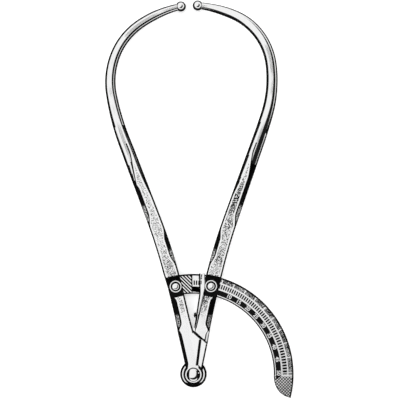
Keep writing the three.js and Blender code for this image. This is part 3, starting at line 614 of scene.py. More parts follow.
def scale_steel(name):
    """Front of the arc: bright lines, with painted hatched shade cross-hatched on the point and hatched
    on the root.
    """
    material, nodes = new_material(name)
    place = nodes.split(nodes.place())
    angle = nodes.math("ARCTAN2", place["Y"], place["X"])
    tip = nodes.math("LESS_THAN", angle, (ARC_NOSE_ANGLE - HATCH_SETBACK) * DEGREE)
    root = nodes.math("GREATER_THAN", angle, (SCALE_START_ANGLE + ROOT_LINE_ANGLE) * DEGREE)
    cross = nodes.math("MAXIMUM", *[hatching(nodes, lines) for lines in POINT_HATCHING])
    single = nodes.times(hatching(nodes, ROOT_HATCHING), root)
    dark = nodes.math("MAXIMUM", nodes.times(cross, tip), single)
    shade = nodes.blend(dark, nodes.clouds(ARC_CLOUDS, ARC_DULLEST, NICKEL), HATCH_SHADE)
    metal(nodes, shade, ARC_ROUGHNESS, ARC_GRAIN)
    return material


def satin_band(name):
    material, nodes = new_material(name)
    density = nodes.clouds(BAND_CLOUDS, *BAND_DENSITY)
    shade = stipple(nodes, density, INK, BAND_SHADE, BAND_PIT_SCALES)
    metal(nodes, shade, BAND_ROUGHNESS, PIT_GRAIN, shade)
    return material


# Meshes and solids

def new_object(name, vertices, faces, finish=POLISHED):
    mesh = bpy.data.meshes.new(name)
    mesh.from_pydata([tuple(point) for point in vertices], [], faces)
    mesh.uv_layers.new(name="run")
    thing = bpy.data.objects.new(name, mesh)
    bpy.context.scene.collection.objects.link(thing)
    for material in FINISHES.values():
        mesh.materials.append(material)
    for polygon in mesh.polygons:
        polygon.material_index = finish
    return thing


def combine(target, steps):
    """Adds or takes away solids; each step is a word and a list of solids."""
    for operation, tools in steps:
        for tool in tools:
            modifier = target.modifiers.new("step", "BOOLEAN")
            modifier.operation = operation
            modifier.solver = "MANIFOLD"
            modifier.object = tool
    depsgraph = bpy.context.evaluated_depsgraph_get()
    finished = target.evaluated_get(depsgraph)
    mesh = bpy.data.meshes.new_from_object(finished, preserve_all_data_layers=True, depsgraph=depsgraph)
    target.modifiers.clear()
    target.data = mesh
    for _, tools in steps:
        for tool in tools:
            bpy.data.objects.remove(tool)
    return target


def prism(points, low, high, finish=POLISHED, name="tool"):
    """A flat outline, listed anticlockwise, raised from low to high."""
    count = len(points)
    area = sum(a[0] * b[1] - b[0] * a[1] for a, b in zip(points, [*points[1:], points[0]]))
    ring = list(points) if area > 0 else list(reversed(points))
    vertices = [(*point, low) for point in ring] + [(*point, high) for point in ring]
    walls = [(i, (i + 1) % count, count + (i + 1) % count, count + i) for i in range(count)]
    caps = [tuple(reversed(range(count))), tuple(range(count, 2 * count))]
    return new_object(name, vertices, walls + caps, finish)


def turned(profile, finish=POLISHED, name="tool"):
    """A solid turned about +Z from a profile of (radius, height) that runs upwards."""
    vertices = []
    rows = []
    for radius, height in profile:
        count = ROUND_SIDES if radius else 1
        rows.append([len(vertices) + side % count for side in range(ROUND_SIDES)])
        points = [polar(radius, side * FULL_TURN / ROUND_SIDES) for side in range(count)]
        vertices += [(*point, height) for point in points]
    if profile[0][0]:
        rows.append(rows[0])
    faces = []
    for low, high in zip(rows, rows[1:]):
        for side in range(ROUND_SIDES):
            after = (side + 1) % ROUND_SIDES
            face = list(dict.fromkeys([low[side], low[after], high[after], high[side]]))
            if len(face) > 2:
                faces.append(face)
    return new_object(name, vertices, faces, finish)


def disc(radius, low, high, finish=POLISHED, name="tool"):
    return turned([(0, low), (radius, low), (radius, high), (0, high)], finish=finish, name=name)


def dome(radius, height, base):
    """An oval head's outline: nearly flat in the middle and rounder towards its edge."""
    shares = [math.cos(i / DOME_STEPS * math.pi / 2) for i in range(DOME_STEPS)]
    points = [(radius * share, base + height * (1 - share ** DOME_POWER)) for share in shares]
    return [*points, (0, base + height)]


def polar(radius, angle):
    return (radius * math.cos(angle * DEGREE), radius * math.sin(angle * DEGREE))


def sector(inner, outer, start, stop, low, high, finish=POLISHED):
    """A band about the pivot between two radii and two angles."""
    count = max(2, math.ceil(abs(stop - start) / ARC_STEP))
    angles = [mix(start, stop, i / count) for i in range(count + 1)]
    points = [polar(outer, angle) for angle in angles]
    points += [polar(inner, angle) for angle in reversed(angles)]
    return prism(points, low, high, finish)


def mix(low, high, share):
    return low + (high - low) * share


def moved(thing, matrix):
    thing.data.transform(matrix)
    return thing


def at_screw(thing, x):
    return moved(thing, Matrix.Translation((x, SCREW_HEIGHT, 0)))


def frame_of(across, up, along, place):
    """The frame with these three axes at a place."""
    matrix = Matrix((across, up, along)).transposed().to_4x4()
    matrix.translation = Vector(place)
    return matrix


# Arms

def runs_of(bow):
    bends = [(radius * angle * DEGREE, angle * DEGREE) for radius, angle in bow]
    sweep = (SWEEP[0] * -SWEEP[1] * DEGREE, SWEEP[1] * DEGREE)
    return [(LEG_LENGTH, 0), sweep, (SHANK_LENGTH, 0), *bends]


def length_of(runs):
    return sum(length for length, _ in runs)


def place_at(runs, along):
    """Place and heading on the centre line, with x outwards from the instrument's axis."""
    x, y, heading = -FOOT_OFFSET, 0, LEAN
    ahead = along
    for length, turn in runs:
        part = min(ahead, length) / length
        half = turn * part / 2
        chord = length * part * (math.sin(half) / half if half else 1)
        x += chord * math.sin(heading - half)
        y += chord * math.cos(heading - half)
        heading -= 2 * half
        ahead -= length * part
        if ahead <= 0:
            break
    return x, y, heading


def between(stations, at):
    if at <= stations[0][0]:
        return stations[0][1]
    for (start, low), (stop, high) in zip(stations, stations[1:]):
        if at <= stop:
            return low + (high - low) * (at - start) / (stop - start)
    return stations[-1][1]


def width_at(along, length):
    widths = {"leg": LEG_WIDTH, "shank": SHANK_WIDTH, "rod": ROD_WIDTH, "neck": NECK_WIDTH}
    stations = [(share * length, widths[name]) for name, share in WIDTH_SHARES.items()]
    return between([*stations, (length, TIP_WIDTH)], along)


def thickness_at(along, length):
    stations = [
        (FLAT_END, LEG_THICKNESS),
        (ROD_THICKNESS_SHARE * length, ROD_THICKNESS),
        (WIDTH_SHARES["neck"] * length, ROD_THICKNESS),
        (length, TIP_THICKNESS),
    ]
    return between(stations, along)


def smoothstep(value, low, high):
    share = min(max((value - low) / (high - low), 0), 1)
    return share * share * (3 - 2 * share)


def bevel_at(bevel, along):
    start, length, run, _, _ = bevel
    end = start + length
    return smoothstep(along, start, start + run) - smoothstep(along, end - run, end)


def tongue_lean(along):
    """How far the flat's narrowing tongue lies inwards of the middle, as a share of the width."""
    return TONGUE_LEAN_SHARE * (
        smoothstep(along, FLAT_END, TONGUE_END)
        - smoothstep(along, TONGUE_END, TONGUE_END + TONGUE_FADE)
    )


def corner_at(along, width, thickness, bevels, share, outer):
    rounded = min(max((along - FLAT_END) / (TONGUE_END - FLAT_END), 0), 1)
    part = 1 / 2 + (tongue_lean(along) if outer else -tongue_lean(along))
    across = mix(EDGE_WIDTH, (width - ROD_FLAT) * part, rounded)
    deep = mix(EDGE_DEPTH, (thickness - ROD_FLAT) / 2, rounded)
    for bevel in bevels:
        cut = bevel_at(bevel, along)
        across = max(across, mix(EDGE_WIDTH, bevel[3], cut))
        deep = max(deep, mix(EDGE_DEPTH, bevel[4] * share, cut))
    return across, deep, 1 - rounded


INNER_BEVELS = [INNER_BEVEL]


def outer_bevels(side):
    return [FOOT_BEVEL, LOWER_BEVEL, RIGHT_OUTER_BEVEL if side > 0 else OUTER_BEVEL]


def outsets_at(along, length, side):
    """How far the arm's outer and inner sides stand out past the plain taper."""
    fade = min((length - along) / OUTSET_FADE, 1)
    if side > 0:
        return fade * between(RIGHT_OUTER_OUTSET, along), 0
    return fade * between(LEFT_OUTER_OUTSET, along), fade * between(LEFT_INNER_OUTSET, along)


def section_at(along, length, arm_side):
    """Points (across, up), from the outer side's front corner round to its back one."""
    width = width_at(along, length) + sum(outsets_at(along, length, arm_side))
    thickness = thickness_at(along, length)
    outer = outer_bevels(arm_side)
    quarters = [
        (1, 1, outer, 1),
        (-1, 1, INNER_BEVELS, 1),
        (-1, -1, INNER_BEVELS, BACK_BEVEL_SHARE),
        (1, -1, outer, BACK_BEVEL_SHARE),
    ]
    points = []
    for quarter, (side, face, bevels, share) in enumerate(quarters):
        corner_width, corner_depth, flat = corner_at(along, width, thickness, bevels, share, side > 0)
        for i in range(CORNER_STEPS + 1):
            turn = 1 - i / CORNER_STEPS if quarter % 2 else i / CORNER_STEPS
            cosine = mix(math.cos(turn * math.pi / 2), 1 - turn, flat)
            sine = mix(math.sin(turn * math.pi / 2), turn, flat)
            across = width / 2 - corner_width * (1 - cosine)
            up = thickness / 2 - corner_depth * (1 - sine)
            points.append((side * across, face * up))
    return points


def strip_finish(strip, along, side):
    """Finish of a lengthwise strip of the arm, and where a bevel's shading starts."""
    outer = strip < CORNER_STEPS
    inner = CORNER_STEPS < strip <= 2 * CORNER_STEPS
    if strip == CORNER_STEPS:
        return (SATIN if along < TONGUE_END else POLISHED), None
    if not (outer or inner) or along > TONGUE_END:
        return POLISHED, None
    bevels = outer_bevels(side) if outer else INNER_BEVELS
    strongest = max(bevels, key=lambda bevel: bevel_at(bevel, along))
    if bevel_at(strongest, along) > BEVEL_LEAST_SHARE:
        return BEVEL, strongest
    # Corner strips of the flat take painted shade as dark outlines
    return (EDGE if along < FLAT_END else POLISHED), None


def arm_rod(name, runs, side):
    length = length_of(runs)
    end = length - BALL_FLAT - SEAT_GAP
    steps = round(end / ARM_STEP)
    stations = [end * i / steps for i in range(steps + 1)]
    sections = [section_at(along, length, side) for along in stations]
    vertices = []
    for along, section in zip(stations, sections):
        x, y, heading = place_at(runs, along)
        outer, inner = outsets_at(along, length, side)
        for across, up in section:
            across += (outer - inner) / 2
            outwards = x + across * math.cos(heading)
            vertices.append((side * outwards, y - across * math.sin(heading), MIDDLE + up))
    count = len(sections[0])
    faces = []
    looks = []
    for row in range(steps):
        for strip in range(count):
            after = (strip + 1) % count
            a, b = row * count + strip, row * count + after
            faces.append((a, a + count, b + count, b) if side > 0 else (a, b, b + count, a + count))
            looks.append((row, strip))
    last = steps * count
    caps = [tuple(range(count)), tuple(reversed(range(last, last + count)))]
    faces += caps if side > 0 else [tuple(reversed(cap)) for cap in caps]
    arm = new_object(name, vertices, faces)
    shade_strips(arm.data, looks, stations, sections, side)
    return arm


def rod_finish(section, strip, along, side):
    """A polished strip's finish: its outline and the flat's crest are painted shade, its back plain."""
    across = abs(section[strip][0] + section[(strip + 1) % len(section)][0]) / 2
    outer = strip < CORNER_STEPS
    outline = OUTLINE_SHARE if outer == (side > 0) else LIT_OUTLINE_SHARE
    if strip <= 2 * CORNER_STEPS and across > section[0][0] * (1 - outline):
        return EDGE
    if outer and along < (RIGHT_CREST_MERGE if side > 0 else LEFT_CREST_MERGE):
        return EDGE
    ahead = (FLAT_END + CREST_LENGTH - along) / CREST_LENGTH
    if outer and ahead > 0 and strip >= CORNER_STEPS - math.ceil(CREST_STRIPS * min(ahead, 1)):
        return EDGE
    return POLISHED if strip in (len(section) - 1, 2 * CORNER_STEPS + 1) else ROD


def bevel_share(bevel, along, side):
    """How far along its bevel a place is; the right foot's bevel counts on from 1, where its painted
    highlight lies.
    """
    length = OUTER_BEVEL[1] if bevel is RIGHT_OUTER_BEVEL else bevel[1]
    share = min((along - bevel[0]) / length, 1)
    if bevel is FOOT_BEVEL:
        return share + 1 if side > 0 else 0
    return share


def shade_strips(mesh, looks, stations, sections, side):
    """Sets each strip's finish, and its own coordinates: borders, or places on a bevel."""
    layer = mesh.uv_layers["run"].data
    for polygon, (row, strip) in zip(mesh.polygons, looks):
        middle = (stations[row] + stations[row + 1]) / 2
        finish, bevel = strip_finish(strip, middle, side)
        if finish == POLISHED:
            finish = rod_finish(sections[row], strip, middle, side)
        polygon.material_index = finish
        for loop in polygon.loop_indices:
            station, point = divmod(mesh.loops[loop].vertex_index, len(sections[0]))
            section = sections[station]
            if finish == SATIN:
                width = section[CORNER_STEPS][0] - section[CORNER_STEPS + 1][0]
                layer[loop].uv = (width, 0) if point == CORNER_STEPS + 1 else (0, width)
            elif finish == ROD:
                layer[loop].uv = (section[point][0] / section[0][0], 0)
            elif finish == BEVEL:
                inwards = point if strip < CORNER_STEPS else 2 * CORNER_STEPS + 1 - point
                share = bevel_share(bevel, stations[station], side)
                layer[loop].uv = (share, 1 - inwards / CORNER_STEPS)


def inner_edge(height, outset=0):
    return height * math.tan(LEAN) - FOOT_OFFSET - (LEG_WIDTH / 2 + outset) / math.cos(LEAN)


def shoulder_point(run, gap):
    return (
        LAP_CROSS + SHOULDER.x * run - SHOULDER.y * gap,
        LAP_HEIGHT + SHOULDER.y * run + SHOULDER.x * gap,
    )


def cheek_corners():
    own = shoulder_point(0, -SHOULDER_GAP / 2)
    corner = shoulder_point((CHEEK_REACH - LAP_CROSS) / SHOULDER.x, -SHOULDER_GAP / 2)
    neck = (-CHEEK_NECK, math.sqrt(FRONT_EYE_RADIUS ** 2 - CHEEK_NECK ** 2))
    return (-own[0], own[1]), (-corner[0], corner[1]), neck


def sided(side, points, low, high, finish=POLISHED):
    """A flat outline on the right arm, or its mirror image on the left one."""
    return prism([(side * x, y) for x, y in points], low, high, finish)


def cheek(side, low, high):
    own, corner, neck = cheek_corners()
    edge = inner_edge(CHEEK_TOP, between(LEFT_INNER_OUTSET, CHEEK_TOP) if side < 0 else 0)
    points = [
        (edge + EDGE_WIDTH, CHEEK_TOP),
        (edge, CHEEK_TOP),
        own,
        corner,
        neck,
        (0, 0),
        (inner_edge(LAP_HEIGHT) + LEG_WIDTH / 2, LAP_HEIGHT),
    ]
    return sided(side, points, low, high, SATIN)


def edge_cut(start, stop, width, depth, level):
    """Takes a slope off an edge at a level, finished with painted shade as a dark line; the waste lies
    to the right of its direction.
    """
    reach = SHOULDER_GAP / 2
    fall = depth / width * (reach + width)
    points = [(-width, 0), (reach, -fall), (reach, OVERRUN), (-width, OVERRUN)]
    along = Vector((*stop, 0)) - Vector((*start, 0))
    cutter = prism(points, 0, along.length, EDGE)
    along.normalize()
    return moved(cutter, frame_of(along.cross(UP), UP, -along, (*stop, level)))


def crescent(outer, reach, start, stop, low, high, finish=HOLLOW):
    """A hollow along a circle, deepest midway between two angles, finished with painted shade unless
    another finish is given.
    """
    angles = [mix(start, stop, i / (2 * DOME_STEPS)) for i in range(2 * DOME_STEPS + 1)]
    rim = [polar(outer, angle) for angle in angles]
    inside = []
    for i in range(2 * DOME_STEPS - 1, 0, -1):
        share = i / DOME_STEPS - 1
        inside.append(polar(outer - reach * (1 - share ** 2), angles[i]))
    return prism(rim + inside, low, high, finish)


def cheek_limit(side):
    own, corner, neck = cheek_corners()
    far = REAR_EYE_RADIUS + LEG_WIDTH
    foot = [(neck[0], -far), (-far, -far), (-far, CHEEK_TOP)]
    return sided(side, [(own[0], CHEEK_TOP), own, corner, neck, *foot], -OVERRUN, ABOVE)


def foot_side(along):
    """A place on the outer side of the right arm's foot."""
    across = LEG_WIDTH / 2 + between(RIGHT_OUTER_OUTSET, along)
    return Vector((
        along * math.sin(LEAN) + across * math.cos(LEAN) - FOOT_OFFSET,
        along * math.cos(LEAN) - across * math.sin(LEAN),
    ))


def left_lap_edges():
    """Slopes that draw the left arm's cheek as lines of painted shade, on the front only."""
    own, corner, neck = [(-x, y) for x, y in cheek_corners()]
    top = (-inner_edge(CHEEK_TOP, between(LEFT_INNER_OUTSET, CHEEK_TOP)), CHEEK_TOP)
    return [
        edge_cut(own, top, EDGE_WIDTH, EDGE_DEPTH, LEG_FRONT),
        edge_cut(corner, own, SHOULDER_EDGE, SHOULDER_EDGE, LEG_FRONT),
        edge_cut(neck, corner, CHEEK_EDGE, CHEEK_EDGE_DEPTH, LEG_FRONT),
    ]


def right_lap_edges():
    """Slopes, a groove and a hollow, finished with painted shade, that draw the right arm's shoulder,
    foot and eye; the hollow on the rear eye is a painted shadow below the front eye.
    """
    half = SHOULDER_GAP / 2
    far = LEG_WIDTH / SHOULDER.x
    start, stop = shoulder_point(-EDGE_WIDTH, half), shoulder_point(far, half)
    groove = [start, stop, shoulder_point(far, -half), shoulder_point(-EDGE_WIDTH, -half)]
    floor = LAP_BACK - EDGE_DEPTH / 2
    foot = foot_side(LAP_HEIGHT * LAP_EDGE_SHARE)
    seat = (LEAF_SEAT_REACH, LEAF_SEAT_END), (seat_point(LEAF_SEAT_FOOT), LEAF_SEAT_FOOT)
    eye_edge = (REAR_EYE_RADIUS - EYE_BEVEL / 4, REAR_EYE_RADIUS - FRONT_EYE_RADIUS)
    return [
        prism(groove, floor, LAP_BACK + GROOVE_OVERRUN, HOLLOW),
        edge_cut(start, stop, SHOULDER_EDGE, SHOULDER_EDGE, LEG_FRONT),
        edge_cut(*seat, SEAT_EDGE, SEAT_EDGE, LEG_FRONT),
        edge_cut(foot_side(0), foot, EDGE_WIDTH, EDGE_DEPTH, LAP_BACK),
        crescent(*eye_edge, *EYE_SHADE, floor, LEG_FRONT),
    ]


def lap_cut(side, layer):
    """The half of the foot that the other arm's eye takes up."""
    gap = SHOULDER_GAP / 2
    far = 2 * (REAR_EYE_RADIUS + LEG_WIDTH)
    corner = (LAP_CROSS + gap, LAP_HEIGHT + gap)
    around = [shoulder_point(far / 2, gap), (far, -far), (-far, -far), (-far, CHEEK_TOP)]
    heights = (BELOW, LAP_FRONT) if layer > 0 else (LAP_BACK, ABOVE)
    return sided(side, [(LAP_CROSS + gap, CHEEK_TOP), corner, *around], *heights)


def eye(radius, low, high):
    profile = [
        (0, low),
        (radius - EYE_BEVEL, low),
        (radius, low + EYE_BEVEL),
        (radius, high - EYE_BEVEL),
        (radius - EYE_BEVEL, high),
        (0, high),
    ]
    ring = turned(profile, finish=SATIN)
    # The upper bevel takes painted shade as a dark outline
    for polygon in ring.data.polygons:
        slanting = WELD < abs(polygon.normal.z) < 1 - WELD
        if slanting and polygon.center.z > (low + high) / 2:
            polygon.material_index = EDGE
    return ring


def tip_frame(runs, side):
    """Lays a piece turned about +Z along the end of an arm, in the middle plane."""
    x, y, heading = place_at(runs, length_of(runs))
    along = Vector((side * math.sin(heading), math.cos(heading), 0))
    return frame_of(UP.cross(along), UP, along, (side * x, y, MIDDLE))


def spigot_hole(runs, side):
    hole = disc(SPIGOT_RADIUS + CLEARANCE, -BALL_FLAT - SPIGOT_LENGTH - CLEARANCE, 0)
    return moved(hole, tip_frame(runs, side))


def screw_hollow(x, side):
    """The hollow across the leg under a screw, and the flat spot in it, both finished with painted
    shade.
    """
    radius = (HOLLOW_LENGTH ** 2 / 4 + HOLLOW_DEPTH ** 2) / (2 * HOLLOW_DEPTH)
    half = math.asin(HOLLOW_LENGTH / 2 / radius)
    angles = [half * (2 * i / DOME_STEPS - 1) for i in range(DOME_STEPS + 1)]
    floor = [(radius * math.sin(a), radius * (1 - math.cos(a)) - HOLLOW_DEPTH) for a in angles]
    points = [*floor, (HOLLOW_LENGTH / 2, OVERRUN), (-HOLLOW_LENGTH / 2, OVERRUN)]
    hollow = prism(points, -LEG_WIDTH, LEG_WIDTH, HOLLOW)
    along = Vector((side * math.sin(LEAN), math.cos(LEAN), 0))
    place = frame_of(along, UP, along.cross(UP), (x, SCREW_HEIGHT, LEG_FRONT))
    spot = disc(COLLAR_RADIUS + CLEARANCE, SPOT_FLOOR, ABOVE, HOLLOW)
    return [moved(hollow, place), at_screw(spot, x)]


def through_hole(radius, x, low=BELOW):
    return at_screw(disc(radius, low, ABOVE), x)


def arc_slot(start, stop):
    """The room for the arc between two angles."""
    inner, outer = ARC_INNER_RADIUS - CLEARANCE, ARC_OUTER_RADIUS + CLEARANCE
    return sector(inner, outer, start, stop, MORTISE_BACK, MORTISE_FRONT)


def arm_steps(runs, side, layer, eye_radius):
    low, high = (LAP_FRONT, LEG_FRONT) if layer > 0 else (LEG_BACK, LAP_BACK)
    pivot_hole = disc(PIVOT_RADIUS + RUNNING_CLEARANCE, BELOW, ABOVE)
    return [
        ("DIFFERENCE", [lap_cut(side, layer)]),
        ("UNION", [cheek(side, low, high)]),
        ("DIFFERENCE", [cheek_limit(side)]),
        ("UNION", [eye(eye_radius, low, high)]),
        ("DIFFERENCE", [pivot_hole, spigot_hole(runs, side)]),
    ]


def left_arm():
    runs = runs_of(LEFT_BOW)
    root = ARC_ROOT_ANGLE + CLEARANCE / ARC_INNER_RADIUS / DEGREE
    cuts = [
        arc_slot(SCALE_START_ANGLE, root),
        *screw_hollow(-ANCHOR_REACH, -1),
        through_hole(SCREW_HOLE, -ANCHOR_REACH),
        *left_lap_edges(),
    ]
    steps = [*arm_steps(runs, -1, 1, FRONT_EYE_RADIUS), ("DIFFERENCE", cuts)]
    return combine(arm_rod("left_arm_forging", runs, -1), steps)


def right_arm():
    runs = runs_of(RIGHT_BOW)
    half = LEG_WIDTH / ARC_INNER_RADIUS / DEGREE
    cuts = [
        arc_slot(SCALE_ZERO_ANGLE - half, SCALE_ZERO_ANGLE + half),
        *screw_hollow(CLAMP_REACH, 1),
        through_hole(BUSH_SPIGOT_RADIUS + CLEARANCE, CLAMP_REACH, MIDDLE),
        disc(WASHER_RADIUS + CLEARANCE, BELOW, LEG_BACK + WASHER_RECESS),
        leaf_seat(),
        leaf_screw_hole(),
        *right_lap_edges(),
    ]
    steps = [*arm_steps(runs, 1, -1, REAR_EYE_RADIUS), ("DIFFERENCE", cuts)]
    return combine(arm_rod("right_arm_forging", runs, 1), steps)


# Index leaf

LEAF_SLOPE = math.tan(LEAF_SEAT_ANGLE * DEGREE)


def seat_point(height):
    return inner_edge(LEAF_SEAT_FOOT) + LEAF_SEAT_CUT + (height - LEAF_SEAT_FOOT) * LEAF_SLOPE


LEAF_SEAT_END = LEAF_SEAT_FOOT + (LEAF_SEAT_REACH - seat_point(LEAF_SEAT_FOOT)) / LEAF_SLOPE


def leaf_edge(height):
    return seat_point(min(height, LEAF_SEAT_END)) - CLEARANCE / math.cos(LEAF_SEAT_ANGLE * DEGREE)


def leaf_face(height):
    share = min((height - LEAF_SEAT_FOOT) / (ARC_INNER_RADIUS - LEAF_SEAT_FOOT), 1)
    top = leaf_edge(ARC_INNER_RADIUS) - LEAF_TOP_WIDTH
    return mix(leaf_edge(LEAF_SEAT_FOOT) - LEAF_FOOT_WIDTH, top, share)


def leaf_seat():
    points = [
        (inner_edge(LEAF_SEAT_FOOT) - EDGE_WIDTH, LEAF_SEAT_FOOT),
        (seat_point(LEAF_SEAT_FOOT), LEAF_SEAT_FOOT),
        (LEAF_SEAT_REACH, LEAF_SEAT_END),
        (LEAF_SEAT_REACH, ARC_OUTER_RADIUS),
        (0, ARC_OUTER_RADIUS),
        (0, ARC_INNER_RADIUS),
    ]
    return prism(points, BELOW, ABOVE)


def leaf_screw_frame():
    run = leaf_face(ARC_INNER_RADIUS) - leaf_face(LEAF_SEAT_FOOT)
    along = Vector((run, ARC_INNER_RADIUS - LEAF_SEAT_FOOT, 0)).normalized()
    place = (leaf_face(LEAF_SCREW_HEIGHT), LEAF_SCREW_HEIGHT, MIDDLE)
    return frame_of(along, -UP, UP.cross(along), place)


def leaf_screw_hole():
    hole = disc(LEAF_SCREW_RADIUS + CLEARANCE, -LEAF_SCREW_LENGTH - CLEARANCE, OVERRUN)
    return moved(hole, leaf_screw_frame())


def index_slit():
    corners = []
    for out, across in ((1, 1), (1, -1), (2, -1), (2, 1)):
        x, y = polar(out * ARC_MIDDLE_RADIUS, INDEX_ANGLE)
        shift = polar(across * SLIT_WIDTH / 2, INDEX_ANGLE + RIGHT_ANGLE)
        corners.append((x + shift[0], y + shift[1]))
    # The slit's walls are finished with painted shade
    return prism(corners, MIDDLE, ABOVE, HOLLOW)


def leaf_outline(edge_heights, face_heights):
    points = [(leaf_edge(height), height) for height in edge_heights]
    return points + [(leaf_face(height), height) for height in face_heights]


def index_leaf():
    back, front = LEG_BACK + LEAF_INSET, LEG_FRONT - LEAF_INSET
    foot = LEAF_SEAT_FOOT + CLEARANCE
    shelf = math.sqrt((ARC_INNER_RADIUS - CLEARANCE) ** 2 - LEAF_SEAT_REACH ** 2)
    top = ARC_OUTER_RADIUS + LEAF_TOP_MARGIN
    leaf = prism(leaf_outline([foot, shelf], [shelf, foot]), back, front, name="index_plate")
    tongue = leaf_outline([foot, LEAF_SEAT_END, top], [top, ARC_INNER_RADIUS, foot])
    cuts = [index_slit(), leaf_screw_hole()]
    for corner, size in ((3, LEAF_EDGE), (4, LEAF_EDGE), (0, LEAF_BACK_EDGE), (1, LEAF_BACK_EDGE)):
        cuts.append(edge_cut(tongue[corner], tongue[corner + 1], size, size, front))
    return combine(leaf, [("UNION", [prism(tongue, MORTISE_FRONT, front)]), ("DIFFERENCE", cuts)])


def leaf_screw():
    profile = [
        (0, -LEAF_SCREW_LENGTH),
        (LEAF_SCREW_RADIUS, -LEAF_SCREW_LENGTH),
        (LEAF_SCREW_RADIUS, SEAT_GAP),
        *dome(LEAF_SCREW_HEAD, LEAF_SCREW_DOME, SEAT_GAP),
    ]
    return moved(turned(profile, name="leaf_screw"), leaf_screw_frame())


# Graduated arc

def reading_angle(reading):
    x, y, _ = place_at(runs_of(LEFT_BOW), length_of(runs_of(LEFT_BOW)))
    reach = math.hypot(x, y)
    return SCALE_ZERO_ANGLE - 2 * math.asin(reading * SCALE_UNIT / (2 * reach)) / DEGREE


def band_radii(name):
    low, high = BAND_SHARES[name]
    return ARC_INNER_RADIUS + low * ARC_WIDTH, ARC_INNER_RADIUS + high * ARC_WIDTH


def fine_angles(start, stop):
    """Angles from start towards stop, in fine steps that end short of it."""
    count = int(abs(stop - start) / ARC_STEP)
    return [start + math.copysign(ARC_STEP, stop - start) * i for i in range(count)]


def arc_outline():
    outer = [*fine_angles(ARC_POINT_ANGLE, ARC_ROOT_ANGLE), ARC_ROOT_ANGLE]
    points = [polar(ARC_OUTER_RADIUS, angle) for angle in outer]
    points += [polar(ARC_INNER_RADIUS, angle) for angle in fine_angles(ARC_ROOT_ANGLE, ARC_NOSE_ANGLE)]
    start = Vector(polar(ARC_INNER_RADIUS, ARC_NOSE_ANGLE))
    control = Vector(polar(ARC_INNER_RADIUS + ARC_NOSE_BULGE, ARC_POINT_ANGLE))
    stop = Vector(points[0])
    for i in range(2 * DOME_STEPS):
        share = i / (2 * DOME_STEPS)
        point = start * (1 - share) ** 2 + control * 2 * share * (1 - share) + stop * share ** 2
        points.append(tuple(point))
    return points


def sunk(depth=ENGRAVING_DEPTH):
    """From the floor of an engraved place up past the arc's front."""
    return ARC_FRONT - depth, ARC_FRONT + depth


def engraving(band, start, stop, depth=ENGRAVING_DEPTH, finish=HOLLOW):
    return sector(*band_radii(band), start, stop, *sunk(depth), finish)


def root_line():
    """The radial line at the start of the scale."""
    inner, outer = ARC_INNER_RADIUS + ARC_RIM, ARC_OUTER_RADIUS - ARC_RIM
    stop = SCALE_START_ANGLE + ROOT_LINE_ANGLE
    return sector(inner, outer, SCALE_START_ANGLE, stop, *sunk(), HOLLOW)


def outline_grooves():
    """Shallow grooves beside the rims, filled black as painted shade, which make the arc's outlines
    broader.
    """
    rim = ARC_RIM / 2
    outer = (ARC_OUTER_RADIUS - ARC_OUTLINE, ARC_OUTER_RADIUS - rim, ARC_POINT_ANGLE + ARC_RIM)
    inner = (ARC_INNER_RADIUS + rim, ARC_INNER_RADIUS + ARC_INLINE, ARC_NOSE_ANGLE)
    return [sector(*band, ARC_ROOT_ANGLE, *sunk(SATIN_DEPTH), HOLLOW) for band in (outer, inner)]


def band_tail(start):
    """The slanting end of the numerals' band."""
    inner, outer = band_radii("numeral")
    points = [polar(outer, start), polar(inner, TAIL_ANGLE), polar(inner, start)]
    return prism(points, *sunk(), HOLLOW)


def cells(first, stride, line):
    """Where each cell of the scale starts and ends, with a bright line between them."""
    half = line / 2 / ARC_MIDDLE_RADIUS / DEGREE
    for reading in range(first, SCALE_TOP, stride):
        yield reading_angle(reading + stride) + half, reading_angle(reading) - half


def scale_arc():
    arc = prism(arc_outline(), ARC_BACK, ARC_FRONT, SATIN, "graduated_arc")
    last = reading_angle(SCALE_TOP)
    end = last - TICK_LINE / 2 / ARC_MIDDLE_RADIUS / DEGREE
    tail = last - 2 * SCALE_RUNOUT_ANGLE
    cuts = [engraving("numeral", tail, SCALE_START_ANGLE)]
    cuts += [engraving(band, last - SCALE_RUNOUT_ANGLE, end) for band in ("tick", "satin")]
    cuts += [root_line(), *outline_grooves(), band_tail(tail)]
    cuts += [engraving("tick", *cell) for cell in cells(-SCALE_LEAD, 1, TICK_LINE)]
    for cell in cells(-SCALE_STRIDE, SCALE_STRIDE, LONG_LINE):
        cuts.append(engraving("satin", *cell, SATIN_DEPTH, BEVEL))
    cuts.append(through_hole(SCREW_HOLE, -ANCHOR_REACH))
    chamfer_rim(arc)
    return combine(arc, [("DIFFERENCE", cuts)])


def chamfer_rim(arc):
    """Bevels the front edge of the arc's outline, finished with painted shade as a dark line round it.
    """
    mesh = bmesh.new()
    mesh.from_mesh(arc.data)
    rim = [edge for edge in mesh.edges if min(v.co.z for v in edge.verts) > ARC_FRONT - WELD]
    made = bmesh.ops.bevel(mesh, geom=rim, offset=ARC_RIM, segments=1, profile=1 / 2, affect="EDGES")
    for face in made["faces"]:
        face.material_index = EDGE
    mesh.to_mesh(arc.data)
    mesh.free()


